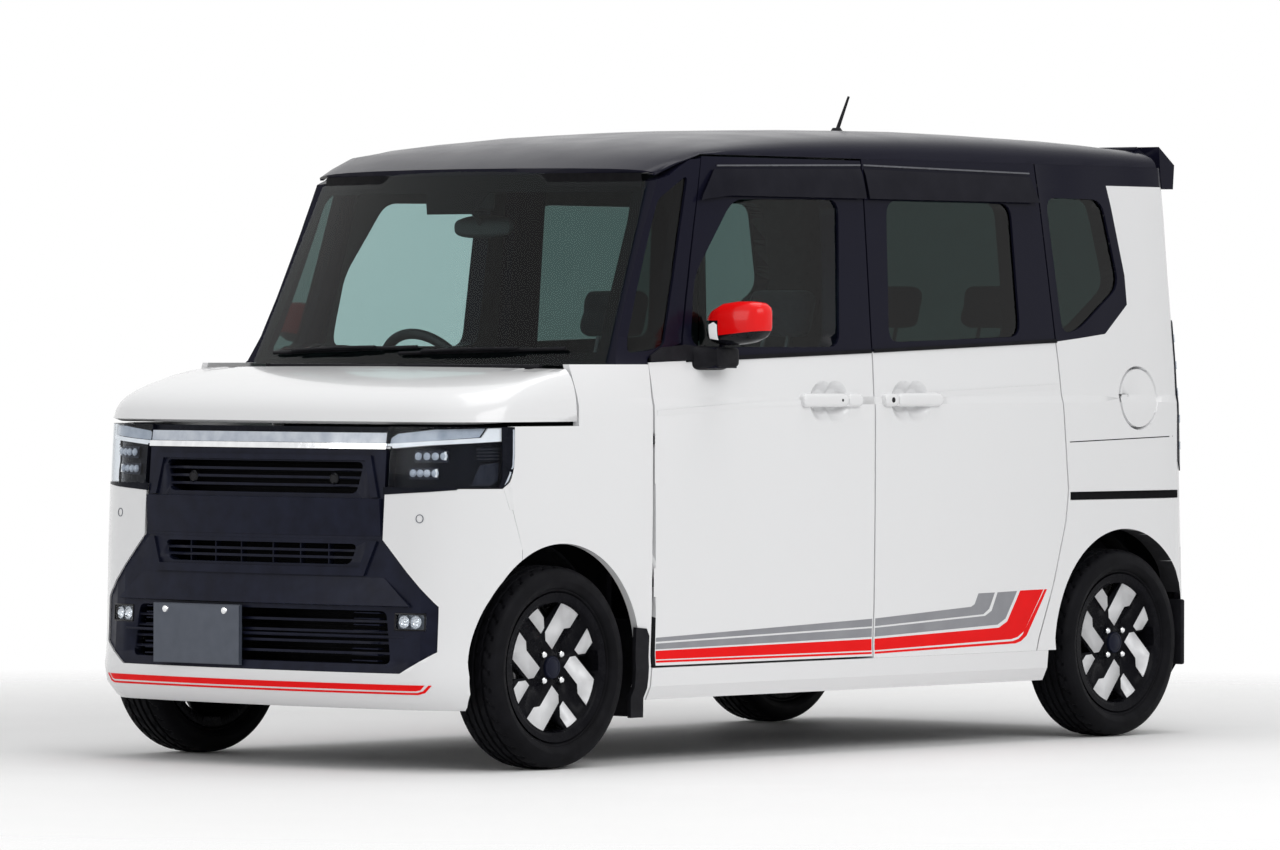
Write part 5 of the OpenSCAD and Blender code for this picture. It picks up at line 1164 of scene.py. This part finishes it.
grille = {
    "frame": [(-0.428, 0.742), (-0.398, 0.856), (0.398, 0.856), (0.428, 0.742), (0.404, 0.742), (0.380, 0.842),
              (-0.380, 0.842), (-0.404, 0.742)],
    "panel": [(-0.440, 0.638), (0.440, 0.638), (0.438, 0.738), (-0.438, 0.738)], "panelLift": (0.002, 0.015),
    "lip": [(-0.430, 0.624), (-0.392, 0.530), (0.392, 0.530), (0.430, 0.624), (0.404, 0.624), (0.376, 0.552),
            (-0.376, 0.552), (-0.404, 0.624)],
    "brow": [(-0.455, 0.526), (0.455, 0.526), (0.545, 0.450), (-0.545, 0.450)], "browLift": (0.013, 0.001),
    "cooler": ((1.528, -0.43, 0.275), (1.545, 0.43, 0.845)), "coolerFins": (28, 0.285, 0.0200, 0.004),
    "fins": (0.345, 0.440, 0.300, 0.430, 9), "slotRibs": (0.06, 0.16, 0.26), "ribZ": (0.556, 0.588, 0.620),
    "bar": (0.525, 0.366), "washers": (0.265, 0.792), "sensor": (0.565, 0.687),
    "lowerGap": (0.284, 0.444), "slotGap": (0.545, 0.632), "upperGap": (0.745, 0.846),
}
grilleNodes = ["upper_grille", "lower_grille"]
noseBody = bodyOf["lower_grille"]


def rampLift(part):                          # a lift that runs evenly from an outline's foot to its top
    heights = [z for y, z in grille[part]]
    low, high, (atLow, atHigh) = min(heights), max(heights), grille[part + "Lift"]
    return lambda point: atLow + (atHigh - atLow) * max(0.0, min(1.0, (point.z - low) / (high - low)))


def fasciaX(y, z, gap):                      # depth of the fascia across an opening, from the skin below and above it
    low, high = grille[gap]
    ends = []
    for at in (low, high):
        hits = [frontHit(node, y, at)[0] for node in grilleNodes]
        ends.append(max(hit.x for hit in hits if hit is not None))
    return ends[0] + (ends[1] - ends[0]) * (z - low) / (high - low)


for name, lift, thickness in (("frame", 0.008, 0.012), ("panel", rampLift("panel"), 0.018), ("lip", 0.008, 0.012),
                              ("brow", rampLift("brow"), 0.016)):
    noseDecal("grille_" + name, grille[name], grilleNodes, satinBlack, lift, thickness, 0.025)
bm = bmesh.new()
boxInto(bm, *grille["cooler"], 0.004, 2)
count, z0, pitch, thick = grille["coolerFins"]
for k in range(count):
    z = z0 + pitch * k
    boxInto(bm, (1.543, -0.42, z), (1.550, 0.42, z + thick))
linkPiece("cooler", bm, fritBlack, noseBody, 40)
y0, y1, z0, z1, count = grille["fins"]
bm = bmesh.new()
for sign in (1, -1):
    for k in range(count):
        z = z0 + (z1 - z0) * k / (count - 1)
        x = min(fasciaX(y * sign, z, "lowerGap") for y in (y0, y1))
        low, high = sorted((y0 * sign, y1 * sign))
        boxInto(bm, (x - 0.03, low, z - 0.002), (x - 0.004, high, z + 0.002), 0.001, 1)
z0, z, z1 = grille["ribZ"]
for y in [part * sign for part in grille["slotRibs"] for sign in (1, -1)]:
    x = fasciaX(y, z, "slotGap")
    boxInto(bm, (x - 0.028, y - 0.002, z0), (x - 0.006, y + 0.002, z1), 0.001, 1)
reach, z = grille["bar"]
spots = [reach * k / 8 for k in range(-8, 9)]
tubeInto(bm, [(fasciaX(y, z, "lowerGap") - 0.004, y, z) for y in spots], 0.0045, 10)
linkPiece("grille_fins", bm, satinBlack, noseBody, 35)
bm = bmesh.new()
for sign in (1, -1):
    y, z = grille["washers"][0] * sign, grille["washers"][1]
    x = fasciaX(y, z, "upperGap") - 0.016
    lathe(bm, [(0.017, 0), (0.0165, 0.008), (0.013, 0.011), (0.010, 0.0085), (0, 0.0085)], (x, y, z), (1, 0, 0), 32)
linkPiece("grille_washers", bm, glossBlack, noseBody, 35)
bm = bmesh.new()
for sign in (1, -1):
    place, normal = frontHit("front_bumper", grille["sensor"][0] * sign, grille["sensor"][1])
    lathe(bm, [(0.0118, 0.0002), (0.0118, 0.0012), (0.0100, 0.0012), (0.0100, 0.0002)], place, normal, 36)
linkPiece("sensor_rings", bm, plateGrey, bodyOf["front_bumper"], 40)
print("grille dressed")


# Mud flaps, arch shades, door edge patches, tail lamp edges, the fuel lid's notch and the wiper blades

edges = {
    "rearFlap": ((-1.596, 0.600, 0.205), (-1.580, 0.728, 0.400)),
    "archSide": ((-1.585, 0.500, 0.50), (-1.0, 0.506, 0.665)),
    "archBack": ((-1.602, 0.300, 0.44), (-1.598, 0.690, 0.665)),
    "flapPlate": ((0.853, 0.585, 0.130), (0.863, 0.700, 0.400)),
    "frontFlap": [(0.870, 0.130), (0.866, 0.355), (0.878, 0.376), (0.922, 0.380), (0.922, 0.130)],
    "patches": ((0.808, 0.462, 0.542), (0.808, 0.775, 0.885)), "patchWide": 0.040, "patchLift": 0.0006,
    "tailEdge": (112.5, 117.5, 0.785, 1.235), "tabs": (0.86, 0.94, 1.02, 1.10, 1.18), "tabHalf": 0.012,
    "lidNotch": rect(-1.308, -1.279, 0.992, 1.014), "lidEdge": -1.290, "lidHeights": (0.979, 1.027), "lidLift": 0.0007,
    "wiperLines": (((-0.56, 1.128), (0.04, 1.146)), ((-0.02, 1.128), (0.54, 1.142))), "bladeLift": 0.010,
    "armSpots": ((2, 0.012, 0.004), (6, 0.016, 0.006), (9, 0.010, 0.004)),
}
flapBody = bodyOf["mud_flaps"]
bm = bmesh.new()
bothBoxes(bm, *edges["rearFlap"], 0.006, 3)
piece = linkPiece("rear_flaps", bm, grainBlack, flapBody, 40)
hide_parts("mud_flaps")
bm = bmesh.new()
bothBoxes(bm, *edges["archSide"], 0.002, 1)
bothBoxes(bm, *edges["archBack"], 0.001, 1)
linkPiece("arch_shades", bm, grainBlack, "body", 40)
bm = bmesh.new()
bothBoxes(bm, *edges["flapPlate"], 0.003, 2)
linkPiece("front_flap_plates", bm, grainBlack, flapBody, 40)
for side, sign in sides:
    decal("front_flap_" + side, edges["frontFlap"], ["fenders"], grainBlack, 1, sign, 0.004, 0.03,
          0.012, flapBody)
    door = "front_door_" + side
    for i, (x, z0, z1) in enumerate(edges["patches"]):
        wide = edges["patchWide"]
        ends = [sideHit(door, x + wide / 2, z, sign)[0].y for z in (z0, z1)]
        bm = sheetFrom(rect(x, x + wide, z0, z1), 1, 0.02)
        for vert in bm.verts:
            share = (vert.co.z - z0) / (z1 - z0)
            near = 0 if share < 0.5 else 1
            away = sideHit(door, vert.co.x, (z0, z1)[near], sign)[0]
            lean = away.y - ends[near] if away is not None else 0.0
            vert.co.y = ends[0] + (ends[1] - ends[0]) * share + lean + edges["patchLift"] * sign
        thicken(bm, 0.0008)
        linkPiece("door_patch_%d_%s" % (i, side), bm, pearlWhite, bodyOf[door], 40)
    a0, a1, z0, z1 = edges["tailEdge"]
    outline = [(a0, z0 + 0.03), (a1, z0), (a1, z1), (a0 + 2, z1 - 0.02)]
    tailSheet("tail_edge_" + side, outline, sign, 0.004, lampDark, 0.006, "fineStep", "quarter_panels")
    for i, z in enumerate(edges["tabs"]):
        tab = rect(a0 + 2.2, a1, z - edges["tabHalf"], z + edges["tabHalf"])
        tailSheet("tail_tab_%d_%s" % (i, side), tab, sign, 0.0065, lampPale, 0.004, "fineStep",
                  "quarter_panels")
bm = sheetFrom(edges["lidNotch"], 1, 0.004)
for vert in bm.verts:
    away = [sideHit("fuel_lid", min(vert.co.x, edges["lidEdge"]), z, 1)[0].y for z in edges["lidHeights"]]
    vert.co.y = sum(away) / 2 + edges["lidLift"]
thicken(bm, 0.001)
linkPiece("lid_notch", bm, pearlWhite, bodyOf["fuel_lid"], 40)
bm = bmesh.new()
for (ya, za), (yb, zb) in edges["wiperLines"]:
    points = []
    for k in range(13):
        spot, normal = frontHit("windscreen", ya + (yb - ya) * k / 12, za + (zb - za) * k / 12)
        points.append(spot + normal * edges["bladeLift"])
    tubeInto(bm, points, 0.0055, 8)
    tubeInto(bm, [points[k] + Vector((out, 0, up)) for k, out, up in edges["armSpots"]], 0.005, 8)
linkPiece("wiper_blades", bm, grainBlack, bodyOf["wipers"], 40)
print("edges dressed")


# Seats: blocks joined by a voxel skin, blown up by a short cloth run, then sewn with grooves

cushions = {"voxel": 0.011, "pressure": 4.0, "frames": 20, "limit": 0.024, "groove": 0.007, "grooveWidth": 0.009,
            "fill": 0.75}


def stuffed(name, blocks, place, seams, body):
    bm = bmesh.new()
    for low, high, bevel in blocks:
        boxInto(bm, low, high, bevel, 4)
    mesh = bpy.data.meshes.new(name + "_start")
    bm.to_mesh(mesh)
    bm.free()
    former = bpy.data.objects.new(name + "_start", mesh)
    scene.collection.objects.link(former)
    skin = former.modifiers.new("skin", "REMESH")
    skin.mode = "VOXEL"
    skin.voxel_size = cushions["voxel"]
    shape = bpy.data.meshes.new_from_object(former.evaluated_get(bpy.context.evaluated_depsgraph_get()))
    former.modifiers.remove(skin)
    former.data = shape
    blown = [vert.co.copy() for vert in shape.vertices]
    cloth = former.modifiers.new("cloth", "CLOTH")
    cloth.settings.use_pressure = True
    cloth.settings.uniform_pressure_force = cushions["pressure"]
    cloth.settings.effector_weights.gravity = 0
    cloth.point_cache.frame_end = cushions["frames"]
    for step in range(1, cushions["frames"] + 1):
        scene.frame_set(step)
    done = former.evaluated_get(bpy.context.evaluated_depsgraph_get()).data
    blown = [vert.co.copy() for vert in done.vertices]
    scene.frame_set(1)
    bm = bmesh.new()
    bm.from_mesh(shape)
    bm.verts.ensure_lookup_table()
    for vert, target in zip(bm.verts, blown):
        move = target - vert.co
        if move.length > cushions["limit"]:
            move *= cushions["limit"] / move.length
        vert.co += move
    bmesh.ops.smooth_vert(bm, verts=bm.verts, factor=0.5, use_axis_x=True, use_axis_y=True, use_axis_z=True)
    bm.normal_update()
    for vert in bm.verts:
        sink = 0.0
        for axis, value, faceAxis, faceSign in seams:
            facing = max(0.0, vert.normal[faceAxis] * faceSign - 0.35)
            away = (vert.co[axis] - value) / cushions["grooveWidth"]
            sink += cushions["groove"] * min(1.0, facing * 3) * math.exp(-away ** 2)
        vert.co -= vert.normal * sink
    bmesh.ops.transform(bm, matrix=place, verts=bm.verts)
    bpy.data.objects.remove(former)
    piece = linkPiece(name, bm, clothNavy, body, 180)
    soft = piece.modifiers.new("soft", "SUBSURF")
    soft.levels = soft.render_levels = 1
    return piece


def leaning(x, y, z):
    return Matrix.Translation((x, y, z)) @ Matrix.Rotation(math.radians(-seats["lean"]), 4, "Y")


def postPiece(name, place, middle, body):    # the two bars that carry a head restraint
    bm = bmesh.new()
    for post in seats["posts"]:
        tubeInto(bm, [place @ Vector((0, middle + post, h)) for h in seats["postHeights"]], seats["postRadius"], 10)
    linkPiece(name, bm, castGrey, body, 40)


# Blocks are two corners and a bevel; seams are an axis, a place on it, and the axis and way that the sewn face looks
seats = {
    "middle": 0.318, "lean": 16, "cushionAt": (0.06, 0.47), "backAt": (-0.005, 0.60),
    "cushion": [((0.015, -0.150, 0.020), (0.450, 0.150, 0.140), 0.03),
                ((0.015, -0.220, 0.015), (0.430, -0.135, 0.160), 0.03),
                ((0.015, 0.135, 0.015), (0.430, 0.220, 0.160), 0.03)],
    "cushionSeams": [(1, -0.125, 2, 1), (1, 0.125, 2, 1), (0, 0.16, 2, 1), (0, 0.31, 2, 1)],
    "back": [((-0.045, -0.150, 0.0), (0.035, 0.150, 0.540), 0.03),
             ((-0.045, -0.215, 0.0), (0.055, -0.130, 0.460), 0.03),
             ((-0.045, 0.130, 0.0), (0.055, 0.215, 0.460), 0.03)],
    "backSeams": [(1, -0.125, 0, 1), (1, 0.125, 0, 1), (2, 0.20, 0, 1), (2, 0.36, 0, 1)],
    "head": [((-0.030, -0.115, 0.605), (0.030, 0.115, 0.745), 0.025)], "headSeams": [(2, 0.675, 0, 1)],
    "posts": (-0.045, 0.045), "postHeights": (0.50, 0.56, 0.64), "postRadius": 0.006,
    "baseX": (0.10, 0.47), "baseHalf": 0.19, "baseZ": (0.335, 0.485),
    "railX": (0.04, 0.53), "rails": (-0.16, 0.16), "railHalf": 0.02, "railZ": (0.302, 0.338),
}
seatBody = bodyOf["front_seats"]
for side, sign in sides:
    middle = seats["middle"] * sign
    (x, z), (backX, backZ) = seats["cushionAt"], seats["backAt"]
    back = leaning(backX, middle, backZ)
    base = stuffed("seat_cushion_" + side, seats["cushion"], Matrix.Translation((x, middle, z)), seats["cushionSeams"],
                   seatBody)
    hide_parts("front_seats")
    stuffed("seat_back_" + side, seats["back"], back, seats["backSeams"], seatBody)
    stuffed("seat_headrest_" + side, seats["head"], back, seats["headSeams"], seatBody)
    postPiece("seat_posts_" + side, back, 0, seatBody)
    bm = bmesh.new()
    (x0, x1), half, (z0, z1) = seats["baseX"], seats["baseHalf"], seats["baseZ"]
    boxInto(bm, (x0, middle - half, z0), (x1, middle + half, z1), 0.02, 3)
    (x0, x1), half, (z0, z1) = seats["railX"], seats["railHalf"], seats["railZ"]
    for rail in seats["rails"]:
        boxInto(bm, (x0, middle + rail - half, z0), (x1, middle + rail + half, z1), 0.005, 2)
    linkPiece("seat_base_" + side, bm, trimBlack, seatBody, 40)

bench = {
    "cushionAt": (-1.075, 0, 0.56), "cushion": [((0.015, -0.405, 0.020), (0.450, 0.405, 0.110), 0.03)],
    "cushionSeams": [(1, 0.0, 2, 1), (1, -0.20, 2, 1), (1, 0.20, 2, 1), (0, 0.18, 2, 1), (0, 0.32, 2, 1)],
    "backAt": (-1.150, 0, 0.63), "back": [((-0.045, -0.405, 0.0), (0.040, 0.405, 0.550), 0.03)],
    "backSeams": [(1, 0.0, 0, 1), (1, -0.20, 0, 1), (1, 0.20, 0, 1), (2, 0.20, 0, 1), (2, 0.38, 0, 1)],
    "headMiddle": 0.206, "headHalf": (0.030, 0.115), "headZ": (0.605, 0.735), "headSeams": [(2, 0.67, 0, 1)],
}
benchBody = bodyOf["rear_seat"]
cushion = stuffed("bench_cushion", bench["cushion"], Matrix.Translation(bench["cushionAt"]), bench["cushionSeams"],
                  benchBody)
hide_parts("rear_seat")
back = leaning(*bench["backAt"])
stuffed("bench_back", bench["back"], back, bench["backSeams"], benchBody)
for side, sign in sides:
    middle, (deep, half), (z0, z1) = bench["headMiddle"] * sign, bench["headHalf"], bench["headZ"]
    stuffed("bench_headrest_" + side, [((-deep, middle - half, z0), (deep, middle + half, z1), 0.025)], back,
            bench["headSeams"], benchBody)
    postPiece("bench_posts_" + side, back, middle, benchBody)
print("seats stuffed")


# Dashboard fittings, the wheel's pad and the sun shades

dash = {
    "screen": ((0.596, -0.125, 0.925), (0.616, 0.125, 1.060)), "hood": ((0.705, -0.500, 1.030), (0.815, -0.180, 1.092)),
    "console": ((0.555, -0.145, 0.700), (0.622, 0.145, 0.885)), "hub": (0.5875, -0.340, 1.040), "tilt": 28,
    "vents": (0.46, 0.548, 0.945, 1.005), "ventX": (0.598, 0.618), "ventRim": 0.006, "blades": (5, 0.010, 0.003),
    "bladeX": (0.602, 0.614), "lever": [(0.585, -0.05, 0.80), (0.550, -0.05, 0.825), (0.525, -0.05, 0.850)],
    "leverWay": (-0.6, 0, 0.8), "shade": ((0.575, 0.14, 1.598), (0.715, 0.54, 1.614)),
}
dashBody = bodyOf["dashboard"]
for name, mat, bevel in (("screen", glossBlack, 0.006), ("hood", trimBlack, 0.024), ("console", trimBlack, 0.014)):
    bm = bmesh.new()
    boxInto(bm, *dash[name], bevel, 4)
    linkPiece("dash_" + name, bm, mat, dashBody, 40)
bm = bmesh.new()
y0, y1, z0, z1 = dash["vents"]
(x0, x1), (x2, x3), rim = dash["ventX"], dash["bladeX"], dash["ventRim"]
count, pitch, thick = dash["blades"]
for sign in (1, -1):
    low, high = sorted((y0 * sign, y1 * sign))
    for a, b, c, d in ((low, high, z0, z0 + rim), (low, high, z1 - rim, z1), (low, low + rim, z0, z1),
                       (high - rim, high, z0, z1)):
        boxInto(bm, (x0, a, c), (x1, b, d), 0.001, 1)
    for k in range(count):
        z = z0 + pitch * (k + 1)
        boxInto(bm, (x2, low + 0.004, z), (x3, high - 0.004, z + thick))
linkPiece("dash_vents", bm, satinBlack, dashBody, 40)
bm = bmesh.new()
tubeInto(bm, dash["lever"], 0.009, 12)
lathe(bm, [(0.010, -0.012), (0.022, -0.004), (0.025, 0.010), (0.020, 0.026), (0, 0.032)], dash["lever"][-1],
      dash["leverWay"], 32)
linkPiece("gear_lever", bm, trimBlack, dashBody, 40)
tilt = math.radians(dash["tilt"])
facing = Vector((-math.cos(tilt), 0, math.sin(tilt)))
bm = bmesh.new()
lathe(bm, [(0.066, 0.0), (0.068, 0.012), (0.060, 0.024), (0.040, 0.030), (0, 0.032)], dash["hub"], facing, 48)
linkPiece("wheel_pad", bm, trimBlack, bodyOf["steering_wheel"], 40)
bm = bmesh.new()
bothBoxes(bm, *dash["shade"], 0.007, 3)
linkPiece("sun_shades", bm, liningGrey, "body", 40)
print("dashboard dressed")


# Studio: pale floor, soft lamps and the photograph's camera

studio = {"floorSize": 9, "keyPower": 205, "fillPower": 80, "topPower": 175, "skyStrength": 0.40, "shown": 1.0}

bm = bmesh.new()
bmesh.ops.create_grid(bm, x_segments=1, y_segments=1, size=studio["floorSize"])
floorMesh = bpy.data.meshes.new("floor")
bm.to_mesh(floorMesh)
bm.free()
floor = bpy.data.objects.new("floor", floorMesh)
scene.collection.objects.link(floor)

floorMat, tree, shader, coords = startMaterial("floorPale")
floorMesh.materials.append(floorMat)
pale = tint(tree, noiseFrom(tree, coords, 2), (0.88, 0.88, 0.88), (0.92, 0.92, 0.92))
tree.links.new(pale, shader.inputs["Base Color"])
shader.inputs["Roughness"].default_value = 0.6
shader.inputs["Specular IOR Level"].default_value = 0.2
flatten = nodeOf(tree, "ShaderNodeVectorMath", operation="LENGTH")
tree.links.new(coords, flatten.inputs[0])
fade = spread(tree, flatten.outputs["Value"], 2.2, 5.5, 1.0, 0.0)
clear = nodeOf(tree, "ShaderNodeBsdfTransparent")
mixInto(tree, fade, clear.outputs["BSDF"], shader.outputs["BSDF"], "Material Output")

world = bpy.data.worlds.new("studioWorld")
scene.world = world
world.use_nodes = True
tree = world.node_tree
ambient = tree.nodes["Background"]
ambient.inputs["Color"].default_value = (1, 1, 1, 1)
ambient.inputs["Strength"].default_value = studio["skyStrength"]
shown = nodeOf(tree, "ShaderNodeBackground", Strength=studio["shown"])
shown.inputs["Color"].default_value = (1, 1, 1, 1)
path = nodeOf(tree, "ShaderNodeLightPath")
seen = path.outputs["Is Camera Ray"]
for ray in ("Is Glossy Ray", "Is Transmission Ray"):
    seen = mathOf(tree, "MAXIMUM", seen, path.outputs[ray])
mixInto(tree, seen, ambient.outputs["Background"], shown.outputs["Background"], "World Output")


def areaLamp(name, place, aim, size, power):
    data = bpy.data.lights.new(name, "AREA")
    data.shape = "RECTANGLE"
    data.size, data.size_y = size
    data.energy = power
    lamp = bpy.data.objects.new(name, data)
    scene.collection.objects.link(lamp)
    lamp.location = place
    lamp.rotation_euler = (Vector(aim) - Vector(place)).to_track_quat("-Z", "Y").to_euler()


areaLamp("keyLamp", (2.0, 6.5, 4.5), (0, 0, 0.9), (6, 3), studio["keyPower"])
areaLamp("fillLamp", (7.0, -1.5, 3.0), (0, 0, 0.9), (4, 3), studio["fillPower"])
areaLamp("topLamp", (-0.5, 0.5, 6.5), (0, 0, 0.9), (6, 4), studio["topPower"])

view = {"azimuth": 40.81, "elevation": 0.597, "distance": 22.8106, "target": (0.060, 0, 0.9254),
        "lens": 36 * 7881.5 / 1280, "roll": 0.143}
camData = bpy.data.cameras.new("photoCamera")
camData.lens = view["lens"]
camData.clip_end = 200
camera = bpy.data.objects.new("photoCamera", camData)
scene.collection.objects.link(camera)
azimuth, elevation = math.radians(view["azimuth"]), math.radians(view["elevation"])
away = Vector((math.cos(azimuth) * math.cos(elevation), math.sin(azimuth) * math.cos(elevation), math.sin(elevation)))
turn = (-away).to_track_quat("-Z", "Y").to_matrix().to_4x4()
spot = Matrix.Translation(Vector(view["target"]) + away * view["distance"])
camera.matrix_world = spot @ turn @ Matrix.Rotation(math.radians(view["roll"]), 4, "Z")
scene.camera = camera
print("studio set")
